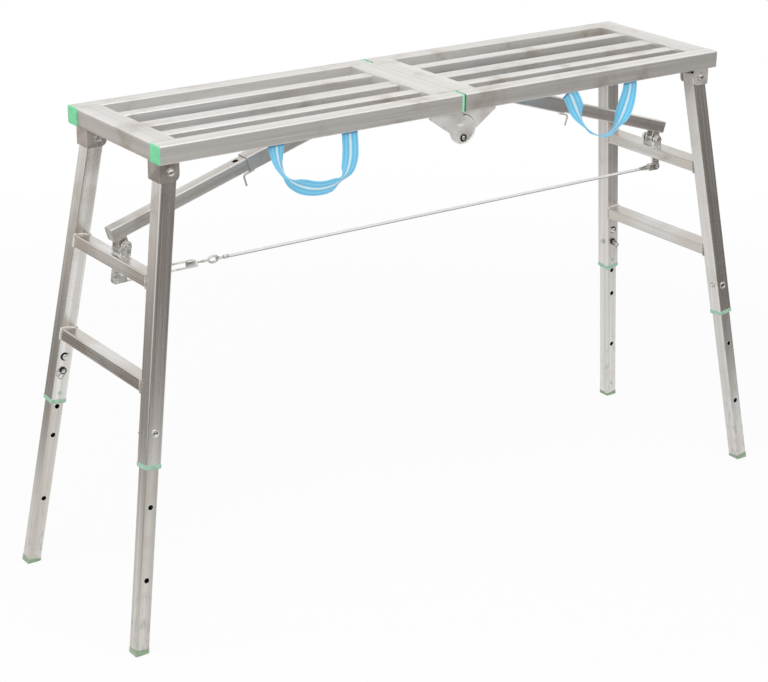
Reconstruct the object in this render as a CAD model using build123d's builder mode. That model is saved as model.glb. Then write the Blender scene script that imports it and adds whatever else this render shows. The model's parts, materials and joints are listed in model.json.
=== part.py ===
from build123d import *
import os
from math import atan2, cos, hypot, radians, sin, sqrt

# A folding work platform: two hinged deck halves on splayed leg frames with telescopic feet.
# Lengths are in millimetres. X runs along the deck, Y towards the back, Z up from the floor,
# and the origin lies on the floor under the middle of the deck.

# Deck
DECK_TOP = 1093.0
DECK_WIDTH = 400.0
HALF_LENGTH = 777.0
SEAM = 1.0
RAIL_WIDTH = 40.0
RAIL_HEIGHT = 40.0
CROSS_WIDTH = 60.0
SLAT_HEIGHT = 30.0
SLAT_DROP = 5.0
SLAT_PLACES = (88.0, -12.5, -95.0)
SLAT_WIDTHS = (30.0, 40.0, 30.0)
WALL = 1.5
TUBE_CORNER = 3.0
PLUG_FLANGE = 3.0
PLUG_DEPTH = 18.0
PLUG_CLEARANCE = 0.1

# Leg frames: the splays are sideways runs per unit of height, and drops are measured from the pivot
PIVOT_END_INSET = 36.0
PIVOT_SIDE_INSET = 43.0
PIVOT_DROP = 23.0
SPLAY_X = 0.1519
SPLAY_Y = 0.0992
LEG_SIZE = 38.0
LEG_ABOVE_PIVOT = 8.0
LEG_DROP = 617.0
INNER_SIZE = 32.0
INNER_OVERLAP = 180.0
RUNG_DEPTH = 38.0
RUNG_HEIGHT = 28.0
UPPER_RUNG_DROP = 235.0
LOWER_RUNG_DROP = 454.0
FOOT_SIZE = 33.0
FOOT_HEIGHT = 12.0
FOOT_PLUG = 22.0
COLLAR_LIP = 6.0
COLLAR_DEPTH = 25.0
COLLAR_CLEARANCE = 0.3
LEG_FOLD = 88.0

# Holes and pins of the telescopic legs: the lock hole is above the outer leg's mouth, the snap hole below
LOCK_RISE = 73.0
HOLE_RADIUS = 6.0
HOLE_PITCH = 160.0
HOLE_COUNT = 3
SNAP_DROP = 16.0
PIN_FIT = 0.05
PIN_TIP_GAP = 0.3
PIN_HEAD_RADIUS = 8.0
PIN_HEAD_HEIGHT = 4.0
PIN_HEAD_STAND = 1.4
BAIL_LENGTH = 26.0
BAIL_WIDTH = 12.0
BAIL_WIRE = 2.5
BAIL_LEAN = 30.0

# Leg brackets and their pivot bolts
BRACKET_PLATE = 2.5
BRACKET_INSIDE = 44.0
BRACKET_STOP = 23.2
BRACKET_REACH = 21.0
BRACKET_HEIGHT = 44.0
BRACKET_ROUND = 14.0
BOLT_RADIUS = 5.0
BOLT_HEAD_ACROSS = 16.0
BOLT_HEAD_HEIGHT = 7.0

# Middle hinge
HINGE_DROP = 60.0
HINGE_PLATE = 4.0
HINGE_GAP = 0.4
HINGE_LOBE = 33.0
HINGE_LOBE_RISE = 18.0
HINGE_WING = 94.0
HINGE_WING_EDGE = 6.0
HINGE_STUD = 12.0
HINGE_STUD_RISE = 25.0
HINGE_STUD_SIDE = 9.0
HINGE_STUD_HEIGHT = 3.0
HINGE_HEAD_RADIUS = 7.5
HINGE_HEAD_HEIGHT = 4.0

# Braces
BRACE_SIZE = 30.0
BRACE_TAIL = 20.0
BRACE_OVERLAP = 43.0
BRACE_OFFSET = 32.5
BRACE_PIN_RISE = 22.7
BRACE_PIN_INWARD = 8.3
BRACE_PIN_RADIUS = 5.0
BRACE_HOLE_RADIUS = 7.0
BRACE_HOLE_GAP = 20.0
SLEEVE_SIZE = 36.0
SLEEVE_WALL = 2.0
SLEEVE_PAST_SEAT = 15.6
SLEEVE_LENGTH = 257.0
TRUNNION_RADIUS = 5.0
TRUNNION_REACH = 7.0
SEAT_X = 223.5
SEAT_DROP = 23.0
SEAT_CLEARANCE = 0.4
SEAT_PLATE = 4.0
SEAT_SIDE_GAP = 1.5
SEAT_BASE = 3.0
SEAT_OUTER = 20.0
SEAT_INNER = 10.0
SEAT_TIP = 8.0
EAR_PLATE = 4.0
EAR_ROUND = 12.0
EAR_INSIDE = 34.0
EAR_BASE = 3.0
LUG_PLATE = 3.0
LUG_ROUND = 11.0
TAIL_RADIUS = 2.2
TAIL_LENGTH = 26.0
TAIL_SIDE = 13.0
TAIL_REACH = 17.0
TAIL_ROOT = 12.0
TAIL_BEND = 6.0

# Tie between the two leg frames
TIE_LUG_DROP = 43.3
TIE_LUG_INWARD = 1.0
TIE_LUG_PLATE = 6.0
TIE_LUG_ROUND = 10.0
TIE_PIN_RADIUS = 4.0
FORK_PLATE = 3.0
FORK_GAP = 0.4
FORK_ROUND = 8.0
FORK_LENGTH = 26.0
FORK_BRIDGE = 8.0
TURNBUCKLE_LENGTH = 188.0
TURNBUCKLE_ROD = 2.5
TURNBUCKLE_SPREAD = 15.0
TURNBUCKLE_NUT = 12.0
EYE_RADIUS = 11.0
EYE_WIRE = 2.5
EYE_PLACE = 243.0
ROPE_RADIUS = 3.0
ROPE_GAP = 0.3
CONE_LENGTH = 34.0
CONE_RADIUS = 7.0

# Carrying straps: each line is a Bezier curve with its control points as (X, drop below the rail),
# and the band rolls about its line through angles given at shares of that curve
STRAP_WIDTH = 38.0
STRAP_THICKNESS = 2.5
STRAP_INSET = 10.0
STRAP_TOP_GAP = 0.5
STRAP_SECTIONS = 25
LEFT_STRAP_LINE = ((-490.0, 0.0), (-462.0, 87.0), (-511.0, 81.0), (-230.0, 223.0), (-312.0, 54.0),
                   (-305.0, 0.0))
LEFT_STRAP_ROLL = ((0.0, 0.0), (0.12, 15.0), (0.3, 83.0), (0.42, 140.0), (0.62, 148.0), (0.7, 131.0),
                   (0.88, 180.0), (1.0, 180.0))
RIGHT_STRAP_LINE = ((310.0, 0.0), (331.0, 49.0), (384.0, 111.0), (453.0, 250.0), (495.0, 20.0),
                    (498.0, 0.0))
RIGHT_STRAP_ROLL = ((0.0, 0.0), (0.2, 20.0), (0.37, 82.0), (0.55, 110.0), (0.75, 145.0), (0.9, 172.0),
                    (1.0, 180.0))

# Places worked out from the driving dimensions
UNDERSIDE = DECK_TOP - RAIL_HEIGHT
DECK_MIDDLE = DECK_TOP - RAIL_HEIGHT / 2
SLAT_MIDDLE = DECK_TOP - SLAT_DROP - SLAT_HEIGHT / 2
SLAT_UNDERSIDE = SLAT_MIDDLE - SLAT_HEIGHT / 2
RAIL_END = HALF_LENGTH - PLUG_FLANGE
RAIL_START = SEAM / 2 + PLUG_FLANGE
RAIL_Y = DECK_WIDTH / 2 - RAIL_WIDTH / 2
CROSS_HALF = DECK_WIDTH / 2 - RAIL_WIDTH
PIVOT_X = HALF_LENGTH - PIVOT_END_INSET
PIVOT_Y = DECK_WIDTH / 2 - PIVOT_SIDE_INSET
PIVOT_Z = UNDERSIDE - PIVOT_DROP
LEG_BOTTOM = PIVOT_Z - LEG_DROP
LOCK_HEIGHT = LEG_BOTTOM + LOCK_RISE
SNAP_HOLE_HEIGHT = LEG_BOTTOM - SNAP_DROP
BRACKET_OUTSIDE = BRACKET_INSIDE + 2 * BRACKET_PLATE
HINGE_Z = UNDERSIDE - HINGE_DROP
HINGE_Y = DECK_WIDTH / 2 - TUBE_CORNER
STRAP_SIDE = DECK_WIDTH / 2 - STRAP_INSET

# The left frame's plane leans outwards, and its legs lean apart within it
FRAME_RUN = hypot(1, SPLAY_X)
LEG_RUN = sqrt(1 + SPLAY_X**2 + SPLAY_Y**2)
DOWN = Vector(-SPLAY_X, 0, -1) / FRAME_RUN
INWARD = Vector(1, 0, -SPLAY_X) / FRAME_RUN
LEG_AXIS = Vector(-SPLAY_X, -SPLAY_Y, -1) / LEG_RUN
FRAME_TOP = Vector(-PIVOT_X, 0, PIVOT_Z)
FRAME_PLANE = Plane(origin=FRAME_TOP, x_dir=INWARD, z_dir=(0, 1, 0))
LEG_PLANE = Plane(origin=(-PIVOT_X, -PIVOT_Y, PIVOT_Z), x_dir=INWARD, z_dir=LEG_AXIS)
LEG_TILT = LEG_RUN / FRAME_RUN
LEG_END = LEG_DROP * LEG_RUN
FLOOR_END = PIVOT_Z * LEG_RUN
INNER_TOP = LEG_END - INNER_OVERLAP
INNER_END = FLOOR_END - FOOT_HEIGHT

# The brace runs from its pin over the upper rung to its seat under the deck
RUNG_TOP = UPPER_RUNG_DROP * FRAME_RUN - RUNG_HEIGHT / 2
BRACE_PIN_DOWN = RUNG_TOP - BRACE_PIN_RISE
BRACE_PIN = FRAME_TOP + DOWN * BRACE_PIN_DOWN + INWARD * BRACE_PIN_INWARD
SEAT = Vector(-SEAT_X, 0, UNDERSIDE - SEAT_DROP)
SEAT_WAY = SEAT - BRACE_PIN
SEAT_PLACE = sqrt(SEAT_WAY.length**2 - BRACE_OFFSET**2)
SLEEVE_START = SEAT_PLACE + SLEEVE_PAST_SEAT - SLEEVE_LENGTH
BRACE_LENGTH = SLEEVE_START + BRACE_OVERLAP
BRACE_HOLE_PLACE = SLEEVE_START - BRACE_HOLE_GAP
BRACE_ANGLE = atan2(SEAT_WAY.Z, SEAT_WAY.X) - atan2(BRACE_OFFSET, SEAT_PLACE)
BRACE_ALONG = Vector(cos(BRACE_ANGLE), 0, sin(BRACE_ANGLE))
BRACE_UP = Vector(-sin(BRACE_ANGLE), 0, cos(BRACE_ANGLE))
BRACE_SIDE_PLANE = Plane(origin=BRACE_PIN, x_dir=BRACE_ALONG, z_dir=(0, -1, 0))
BRACE_TUBE_PLANE = Plane(origin=BRACE_PIN + BRACE_UP * BRACE_OFFSET, x_dir=(0, 1, 0), z_dir=BRACE_ALONG)

# The tie hangs between lugs under the upper rungs; its end links follow the folding frames,
# so that the middle of the rope can stay where it is
TIE_LUG_DOWN = UPPER_RUNG_DROP * FRAME_RUN + TIE_LUG_DROP
TIE_LUG = FRAME_TOP + DOWN * TIE_LUG_DOWN + INWARD * TIE_LUG_INWARD
TIE_Z = TIE_LUG.Z
FORK_INSIDE = TIE_LUG_PLATE / 2 + FORK_GAP
LINK_START = TIE_LUG.X + EYE_PLACE + EYE_RADIUS + EYE_WIRE
LUG_ARM = TIE_LUG - FRAME_TOP
FOLDED_LUG_X = LUG_ARM.X * cos(radians(LEG_FOLD)) - LUG_ARM.Z * sin(radians(LEG_FOLD))
FOLDED_LUG_Z = LUG_ARM.X * sin(radians(LEG_FOLD)) + LUG_ARM.Z * cos(radians(LEG_FOLD))
LUG_SHIFT = FOLDED_LUG_X - LUG_ARM.X
LUG_LIFT = FOLDED_LUG_Z - LUG_ARM.Z
LINK_LENGTH = (LUG_SHIFT**2 + LUG_LIFT**2) / (2 * LUG_SHIFT)
LINK_END = LINK_START + LINK_LENGTH


def leg_point(height):
    """The front left leg's axis at a height above the floor."""
    drop = PIVOT_Z - height
    return Vector(-PIVOT_X - SPLAY_X * drop, -PIVOT_Y - SPLAY_Y * drop, height)


def tube_section(width, height, wall=WALL):
    """Draws a hollow rectangle with rounded corners in the current sketch."""
    RectangleRounded(width, height, TUBE_CORNER)
    RectangleRounded(width - 2 * wall, height - 2 * wall, TUBE_CORNER - wall, mode=Mode.SUBTRACT)


def hole_along_y(x, z, radius):
    """Cuts a round hole right through the current part along Y."""
    with BuildSketch(Plane.XZ) as outline:
        with Locations((x, z)):
            Circle(radius)
    extrude(outline.sketch, amount=DECK_WIDTH + PIVOT_Z, both=True, mode=Mode.SUBTRACT)


def rod_along_y(x, z, radius, near, far):
    """Adds a round rod to the current part, from near to far in front of the middle plane."""
    with BuildSketch(Plane.XZ.offset(near)) as outline:
        with Locations((x, z)):
            Circle(radius)
    extrude(outline.sketch, amount=far - near)


def hexagon_along_y(x, z, across, near, far):
    """Adds a hexagonal head to the current part, from near to far in front of the middle plane."""
    with BuildSketch(Plane.XZ.offset(near)) as outline:
        with Locations((x, z)):
            RegularPolygon(across / sqrt(3), 6)
    extrude(outline.sketch, amount=far - near)


def save(builder, node):
    """Labels a finished piece and writes it under its node's name."""
    builder.part.label = node
    export_step(builder.part, f"parts/{node}.step")


def save_copy(builder, node, about):
    """Writes a piece's mirror image under another node's name and returns it."""
    with BuildPart() as copy:
        mirror(builder.part, about=about)
    save(copy, node)
    return copy


def save_pair(builder, node):
    """Writes a left piece and its mirror image on the right."""
    save(builder, f"left_{node}")
    save_copy(builder, f"right_{node}", Plane.YZ)


def save_four(builder, node):
    """Writes a front left piece and its three mirror images."""
    save(builder, f"left_front_{node}")
    save_copy(builder, f"right_front_{node}", Plane.YZ)
    rear = save_copy(builder, f"left_rear_{node}", Plane.XZ)
    save_copy(rear, f"right_rear_{node}", Plane.YZ)


os.makedirs("parts", exist_ok=True)

# Side rails of the deck
with BuildPart() as rail:
    with BuildSketch(Plane.YZ.offset(-RAIL_END)):
        with Locations((-RAIL_Y, DECK_MIDDLE)):
            tube_section(RAIL_WIDTH, RAIL_HEIGHT)
    extrude(amount=RAIL_END - RAIL_START)
save_four(rail, "rail")

# Cross rails between the side rails, at the outer end and at the seam
with BuildPart() as outer_cross:
    with BuildSketch(Plane.XZ):
        with Locations((-RAIL_END + CROSS_WIDTH / 2, DECK_MIDDLE)):
            tube_section(CROSS_WIDTH, RAIL_HEIGHT)
    extrude(amount=CROSS_HALF, both=True)
save_pair(outer_cross, "outer_cross")

with BuildPart() as inner_cross:
    with BuildSketch(Plane.XZ):
        with Locations((-SEAM / 2 - CROSS_WIDTH / 2, DECK_MIDDLE)):
            tube_section(CROSS_WIDTH, RAIL_HEIGHT)
    extrude(amount=CROSS_HALF, both=True)
save_pair(inner_cross, "inner_cross")

# Slats between the cross rails
with BuildPart() as slats:
    with BuildSketch(Plane.YZ.offset(-RAIL_END + CROSS_WIDTH)):
        for place, width in zip(SLAT_PLACES, SLAT_WIDTHS):
            with Locations((place, SLAT_MIDDLE)):
                tube_section(width, SLAT_HEIGHT)
    extrude(amount=RAIL_END - 2 * CROSS_WIDTH - SEAM / 2)
save_pair(slats, "slats")

# Plugs in both ends of each side rail, with a flange outside
with BuildPart() as plugs:
    for mouth, out in ((-RAIL_END, -1), (-RAIL_START, 1)):
        with BuildSketch(Plane.YZ.offset(mouth)):
            with Locations((-RAIL_Y, DECK_MIDDLE), (RAIL_Y, DECK_MIDDLE)):
                RectangleRounded(RAIL_WIDTH, RAIL_HEIGHT, TUBE_CORNER)
        extrude(amount=out * PLUG_FLANGE)
        with BuildSketch(Plane.YZ.offset(mouth)):
            with Locations((-RAIL_Y, DECK_MIDDLE), (RAIL_Y, DECK_MIDDLE)):
                gap = 2 * (WALL + PLUG_CLEARANCE)
                RectangleRounded(RAIL_WIDTH - gap, RAIL_HEIGHT - gap, TUBE_CORNER - WALL)
        extrude(amount=-out * PLUG_DEPTH)
save_pair(plugs, "plugs")

# Brackets under the deck's corners that hold the legs between two cheeks and stop them outside
with BuildPart() as brackets:
    with BuildSketch(Plane.XY.offset(UNDERSIDE - BRACKET_HEIGHT)):
        length = BRACKET_STOP + BRACKET_REACH
        middle = -PIVOT_X + (BRACKET_REACH - BRACKET_STOP) / 2
        with Locations((middle - BRACKET_PLATE / 2, -PIVOT_Y)):
            Rectangle(length + BRACKET_PLATE, BRACKET_OUTSIDE)
        with Locations((middle, -PIVOT_Y)):
            Rectangle(length, BRACKET_INSIDE, mode=Mode.SUBTRACT)
    extrude(amount=BRACKET_HEIGHT)
    free_edge = -PIVOT_X + BRACKET_REACH
    corners = brackets.edges().filter_by(Axis.Y).filter_by_position(Axis.X, free_edge - 1, free_edge + 1)
    fillet(corners.sort_by(Axis.Z)[:2], BRACKET_ROUND)
    hole_along_y(-PIVOT_X, PIVOT_Z, BOLT_RADIUS)
    mirror(about=Plane.XZ)
save_pair(brackets, "leg_brackets")

# Bolts that the legs turn on
with BuildPart() as pivot_bolts:
    inner_face = PIVOT_Y - BRACKET_OUTSIDE / 2
    outer_face = PIVOT_Y + BRACKET_OUTSIDE / 2
    rod_along_y(-PIVOT_X, PIVOT_Z, BOLT_RADIUS - PIN_FIT, inner_face - BOLT_HEAD_HEIGHT, outer_face)
    hexagon_along_y(-PIVOT_X, PIVOT_Z, BOLT_HEAD_ACROSS, inner_face - BOLT_HEAD_HEIGHT, inner_face)
    hexagon_along_y(-PIVOT_X, PIVOT_Z, BOLT_HEAD_ACROSS, outer_face, outer_face + BOLT_HEAD_HEIGHT)
    mirror(about=Plane.XZ)
save_pair(pivot_bolts, "pivot_bolts")


def hinge_profile(side):
    """Draws a hinge plate: a round lobe about the pivot and a wing up to the rail on one side."""
    with Locations((0, HINGE_Z + HINGE_LOBE_RISE)):
        Circle(HINGE_LOBE)
    with BuildLine() as wing:
        Polyline(
            (side * HINGE_WING, UNDERSIDE),
            (side * HINGE_WING, UNDERSIDE - HINGE_WING_EDGE),
            (side * HINGE_LOBE, HINGE_Z + HINGE_LOBE_RISE - HINGE_WING_EDGE),
            (0, HINGE_Z + HINGE_LOBE_RISE),
            (side * RAIL_START, UNDERSIDE),
            close=True,
        )
    make_face(wing.edges())
    with Locations((0, HINGE_Z)):
        Circle(BOLT_RADIUS, mode=Mode.SUBTRACT)


# Hinge plates under the rails at the seam, the left pair outside the right pair
with BuildPart() as left_plates:
    with BuildSketch(Plane.XZ.offset(HINGE_Y - HINGE_PLATE)):
        hinge_profile(-1)
    extrude(amount=HINGE_PLATE)
    with BuildSketch(Plane.XZ.offset(HINGE_Y)):
        with Locations((-HINGE_STUD_SIDE, HINGE_Z + HINGE_STUD_RISE)):
            Rectangle(HINGE_STUD, HINGE_STUD)
    extrude(amount=HINGE_STUD_HEIGHT)
    mirror(about=Plane.XZ)
save(left_plates, "left_hinge_plates")

RIGHT_PLATE_FACE = HINGE_Y - HINGE_PLATE - HINGE_GAP
with BuildPart() as right_plates:
    with BuildSketch(Plane.XZ.offset(RIGHT_PLATE_FACE - HINGE_PLATE)):
        hinge_profile(1)
    extrude(amount=HINGE_PLATE)
    mirror(about=Plane.XZ)
save(right_plates, "right_hinge_plates")

with BuildPart() as hinge_bolts:
    hinge_inner = RIGHT_PLATE_FACE - HINGE_PLATE - HINGE_GAP
    rod_along_y(0, HINGE_Z, BOLT_RADIUS - PIN_FIT, hinge_inner - BOLT_HEAD_HEIGHT, HINGE_Y)
    rod_along_y(0, HINGE_Z, HINGE_HEAD_RADIUS, HINGE_Y, HINGE_Y + HINGE_HEAD_HEIGHT)
    hexagon_along_y(0, HINGE_Z, BOLT_HEAD_ACROSS, hinge_inner - BOLT_HEAD_HEIGHT, hinge_inner)
    mirror(about=Plane.XZ)
save(hinge_bolts, "hinge_bolts")

# Outer legs
with BuildPart() as leg:
    with BuildSketch(LEG_PLANE.offset(-LEG_ABOVE_PIVOT)):
        tube_section(LEG_SIZE, LEG_SIZE)
    extrude(amount=LEG_ABOVE_PIVOT + LEG_END)
    hole_along_y(-PIVOT_X, PIVOT_Z, BOLT_RADIUS)
    hole_along_y(leg_point(LOCK_HEIGHT).X, LOCK_HEIGHT, HOLE_RADIUS)
save_four(leg, "leg")

# The space that the two left legs fill, which the rungs end against
with BuildPart() as leg_bars:
    with BuildSketch(LEG_PLANE):
        Rectangle(LEG_SIZE, LEG_SIZE)
    extrude(amount=LEG_END)
    mirror(about=Plane.XZ)

# Rungs
for rung_name, rung_drop in (("upper_rung", UPPER_RUNG_DROP), ("lower_rung", LOWER_RUNG_DROP)):
    with BuildPart() as rung:
        with BuildSketch(FRAME_PLANE):
            with Locations((0, rung_drop * FRAME_RUN)):
                tube_section(RUNG_DEPTH, RUNG_HEIGHT)
        extrude(amount=PIVOT_Y + SPLAY_Y * rung_drop, both=True)
        add(leg_bars.part, mode=Mode.SUBTRACT)
    save_pair(rung, rung_name)

# Collars in the mouths of the outer legs
COLLAR_BORE = INNER_SIZE + 2 * COLLAR_CLEARANCE
with BuildPart() as collars:
    with BuildSketch(LEG_PLANE.offset(LEG_END)):
        RectangleRounded(LEG_SIZE, LEG_SIZE, TUBE_CORNER)
    extrude(amount=COLLAR_LIP)
    with BuildSketch(LEG_PLANE.offset(LEG_END)):
        sleeve_size = LEG_SIZE - 2 * (WALL + PLUG_CLEARANCE)
        RectangleRounded(sleeve_size, sleeve_size, TUBE_CORNER - WALL)
    extrude(amount=-COLLAR_DEPTH)
    with BuildSketch(LEG_PLANE.offset(LEG_END - COLLAR_DEPTH)):
        Rectangle(COLLAR_BORE, COLLAR_BORE)
    extrude(amount=COLLAR_DEPTH + COLLAR_LIP, mode=Mode.SUBTRACT)
    mirror(about=Plane.XZ)
save_pair(collars, "collars")

# Inner legs with their row of lock holes and a snap hole towards the middle
with BuildPart() as inner_leg:
    with BuildSketch(LEG_PLANE.offset(INNER_TOP)):
        tube_section(INNER_SIZE, INNER_SIZE)
    extrude(amount=INNER_END - INNER_TOP)
    for step in range(HOLE_COUNT):
        hole_height = LOCK_HEIGHT - step * HOLE_PITCH
        hole_along_y(leg_point(hole_height).X, hole_height, HOLE_RADIUS)
    snap = leg_point(SNAP_HOLE_HEIGHT)
    with BuildSketch(Plane.XZ.offset(-snap.Y)):
        with Locations((snap.X, snap.Z)):
            Circle(HOLE_RADIUS)
    extrude(amount=-INNER_SIZE, mode=Mode.SUBTRACT)
save_four(inner_leg, "inner_leg")

# Feet, cut level with the floor
with BuildPart() as foot:
    with BuildSketch(LEG_PLANE.offset(INNER_END)):
        RectangleRounded(FOOT_SIZE, FOOT_SIZE, TUBE_CORNER)
    extrude(amount=FOOT_HEIGHT + FOOT_SIZE)
    split(bisect_by=Plane.XY, keep=Keep.TOP)
    with BuildSketch(LEG_PLANE.offset(INNER_END)):
        plug_size = INNER_SIZE - 2 * (WALL + PLUG_CLEARANCE)
        RectangleRounded(plug_size, plug_size, TUBE_CORNER - WALL)
    extrude(amount=-FOOT_PLUG)
save_four(foot, "foot")

# Lock pins on the inner faces of the legs, each with a wire bail; a leaning leg is nearest at the pin's rim
LOCK = leg_point(LOCK_HEIGHT)
PIN_LEAN = SPLAY_Y * HOLE_RADIUS
PIN_TIP = -LOCK.Y - INNER_SIZE / 2 * LEG_TILT - PIN_LEAN - PIN_TIP_GAP
PIN_HEAD = -LOCK.Y - LEG_SIZE / 2 * LEG_TILT - PIN_HEAD_STAND
with BuildPart() as lock_pin:
    rod_along_y(LOCK.X, LOCK.Z, HOLE_RADIUS - PIN_FIT, PIN_HEAD, PIN_TIP)
    rod_along_y(LOCK.X, LOCK.Z, PIN_HEAD_RADIUS, PIN_HEAD - PIN_HEAD_HEIGHT, PIN_HEAD)
    with BuildSketch(Plane.XZ.offset(PIN_HEAD - PIN_HEAD_HEIGHT - BAIL_WIRE)):
        lean = radians(BAIL_LEAN)
        reach = BAIL_LENGTH / 2 - BAIL_WIDTH / 2
        with Locations((LOCK.X - reach * sin(lean), LOCK.Z - reach * cos(lean))):
            SlotOverall(BAIL_LENGTH, BAIL_WIDTH, rotation=90 - BAIL_LEAN)
            SlotOverall(BAIL_LENGTH - 2 * BAIL_WIRE, BAIL_WIDTH - 2 * BAIL_WIRE, rotation=90 - BAIL_LEAN,
                        mode=Mode.SUBTRACT)
    extrude(amount=BAIL_WIRE)
save_four(lock_pin, "lock_pin")

# Clevis on the upper rung with the pin that the brace turns on
with BuildPart() as clevis:
    for ear_start in (EAR_INSIDE / 2, -EAR_INSIDE / 2 - EAR_PLATE):
        with BuildSketch(FRAME_PLANE.offset(ear_start)):
            with Locations((BRACE_PIN_INWARD, BRACE_PIN_DOWN)):
                Circle(EAR_ROUND)
            with Locations((BRACE_PIN_INWARD, (BRACE_PIN_DOWN + RUNG_TOP) / 2)):
                Rectangle(2 * EAR_ROUND, BRACE_PIN_RISE)
        extrude(amount=EAR_PLATE)
    with BuildSketch(FRAME_PLANE.offset(-EAR_INSIDE / 2 - EAR_PLATE)):
        with Locations((BRACE_PIN_INWARD, RUNG_TOP - EAR_BASE / 2)):
            Rectangle(2 * EAR_ROUND, EAR_BASE)
    extrude(amount=EAR_INSIDE + 2 * EAR_PLATE)
    pin_end = EAR_INSIDE / 2 + EAR_PLATE + BOLT_HEAD_HEIGHT
    rod_along_y(BRACE_PIN.X, BRACE_PIN.Z, BRACE_PIN_RADIUS - PIN_FIT, -pin_end, pin_end)
    hexagon_along_y(BRACE_PIN.X, BRACE_PIN.Z, BOLT_HEAD_ACROSS, pin_end - BOLT_HEAD_HEIGHT, pin_end)
    hexagon_along_y(BRACE_PIN.X, BRACE_PIN.Z, BOLT_HEAD_ACROSS, -pin_end, BOLT_HEAD_HEIGHT - pin_end)
save_pair(clevis, "brace_clevis")

# Lower brace tube with two lugs under it and a round hole on top
with BuildPart() as brace_tube:
    with BuildSketch(BRACE_TUBE_PLANE.offset(-BRACE_TAIL)):
        tube_section(BRACE_SIZE, BRACE_SIZE)
    extrude(amount=BRACE_TAIL + BRACE_LENGTH)
    lug_rise = BRACE_OFFSET - BRACE_SIZE / 2
    for lug_start in (BRACE_SIZE / 2 - TUBE_CORNER - LUG_PLATE, -BRACE_SIZE / 2 + TUBE_CORNER):
        with BuildSketch(BRACE_SIDE_PLANE.offset(lug_start)):
            Circle(LUG_ROUND)
            with Locations((0, lug_rise / 2)):
                Rectangle(2 * LUG_ROUND, lug_rise)
            Circle(BRACE_PIN_RADIUS, mode=Mode.SUBTRACT)
        extrude(amount=LUG_PLATE)
    hole_face = BRACE_PIN + BRACE_ALONG * BRACE_HOLE_PLACE + BRACE_UP * BRACE_OFFSET
    with BuildSketch(Plane(origin=hole_face, x_dir=BRACE_ALONG, z_dir=BRACE_UP)):
        Circle(BRACE_HOLE_RADIUS)
    extrude(amount=BRACE_SIZE, mode=Mode.SUBTRACT)
save_pair(brace_tube, "brace_tube")

# Sleeve over the brace tube, with side trunnions for the seat and a bent wire tail before its mouth
with BuildPart() as sleeve:
    with BuildSketch(BRACE_TUBE_PLANE.offset(SLEEVE_START)):
        tube_section(SLEEVE_SIZE, SLEEVE_SIZE, SLEEVE_WALL)
    extrude(amount=SLEEVE_LENGTH)
    trunnion_root = SLEEVE_SIZE / 2 - SLEEVE_WALL / 2
    trunnion_end = SLEEVE_SIZE / 2 + TRUNNION_REACH
    rod_along_y(SEAT.X, SEAT.Z, TRUNNION_RADIUS, trunnion_root, trunnion_end)
    rod_along_y(SEAT.X, SEAT.Z, TRUNNION_RADIUS, -trunnion_end, -trunnion_root)
    tail_height = BRACE_OFFSET - SLEEVE_SIZE / 2 + SLEEVE_WALL / 2 - TAIL_RADIUS
    tail_root = BRACE_PIN + BRACE_ALONG * (SLEEVE_START + TAIL_ROOT) + BRACE_UP * tail_height
    tail_root = tail_root - Vector(0, TAIL_SIDE, 0)
    tail_corner = tail_root - BRACE_ALONG * (TAIL_ROOT + TAIL_REACH)
    with BuildLine() as tail_line:
        FilletPolyline(tail_root, tail_corner, tail_corner - BRACE_UP * TAIL_LENGTH, radius=TAIL_BEND)
    with BuildSketch(Plane(origin=tail_root, x_dir=(0, 1, 0), z_dir=-BRACE_ALONG)):
        Circle(TAIL_RADIUS)
    sweep(path=tail_line.wire())
save_pair(sleeve, "brace_sleeve")

# Seat under the middle slat: cheeks with a notch that is open inwards and downwards
with BuildPart() as seat:
    cheek = SLEEVE_SIZE / 2 + SEAT_SIDE_GAP
    cradle = TRUNNION_RADIUS + SEAT_CLEARANCE
    base_under = SLAT_UNDERSIDE - SEAT_BASE
    for cheek_start in (cheek, -cheek - SEAT_PLATE):
        with BuildSketch(Plane.XZ.offset(cheek_start)):
            with Locations((SEAT.X - SEAT_OUTER, SEAT.Z - SEAT_TIP)):
                cheek_height = base_under - SEAT.Z + SEAT_TIP
                Rectangle(SEAT_OUTER + SEAT_INNER, cheek_height, align=(Align.MIN, Align.MIN))
            with Locations((SEAT.X, SEAT.Z)):
                Circle(cradle, mode=Mode.SUBTRACT)
            with Locations((SEAT.X - cradle, SEAT.Z)):
                Rectangle(2 * SEAT_OUTER, 2 * SEAT_TIP, align=(Align.MIN, Align.MAX), mode=Mode.SUBTRACT)
            with Locations((SEAT.X, SEAT.Z + cradle)):
                Rectangle(2 * SEAT_OUTER, 2 * cradle, align=(Align.MIN, Align.MAX), mode=Mode.SUBTRACT)
        extrude(amount=SEAT_PLATE)
    with BuildSketch(Plane.XZ.offset(-cheek - SEAT_PLATE)):
        with Locations((SEAT.X - SEAT_OUTER, base_under)):
            Rectangle(SEAT_OUTER + SEAT_INNER, SEAT_BASE, align=(Align.MIN, Align.MIN))
    extrude(amount=2 * (cheek + SEAT_PLATE))
save_pair(seat, "brace_seat")

# Lugs under the upper rungs for the tie
with BuildPart() as tie_lug:
    rung_bottom = RUNG_TOP + RUNG_HEIGHT
    with BuildSketch(FRAME_PLANE):
        with Locations((TIE_LUG_INWARD, TIE_LUG_DOWN)):
            Circle(TIE_LUG_ROUND)
        with Locations((TIE_LUG_INWARD, (rung_bottom + TIE_LUG_DOWN) / 2)):
            Rectangle(2 * TIE_LUG_ROUND, TIE_LUG_DOWN - rung_bottom)
        with Locations((TIE_LUG_INWARD, TIE_LUG_DOWN)):
            Circle(TIE_PIN_RADIUS, mode=Mode.SUBTRACT)
    extrude(amount=TIE_LUG_PLATE / 2, both=True)
save_pair(tie_lug, "tie_lug")


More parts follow.
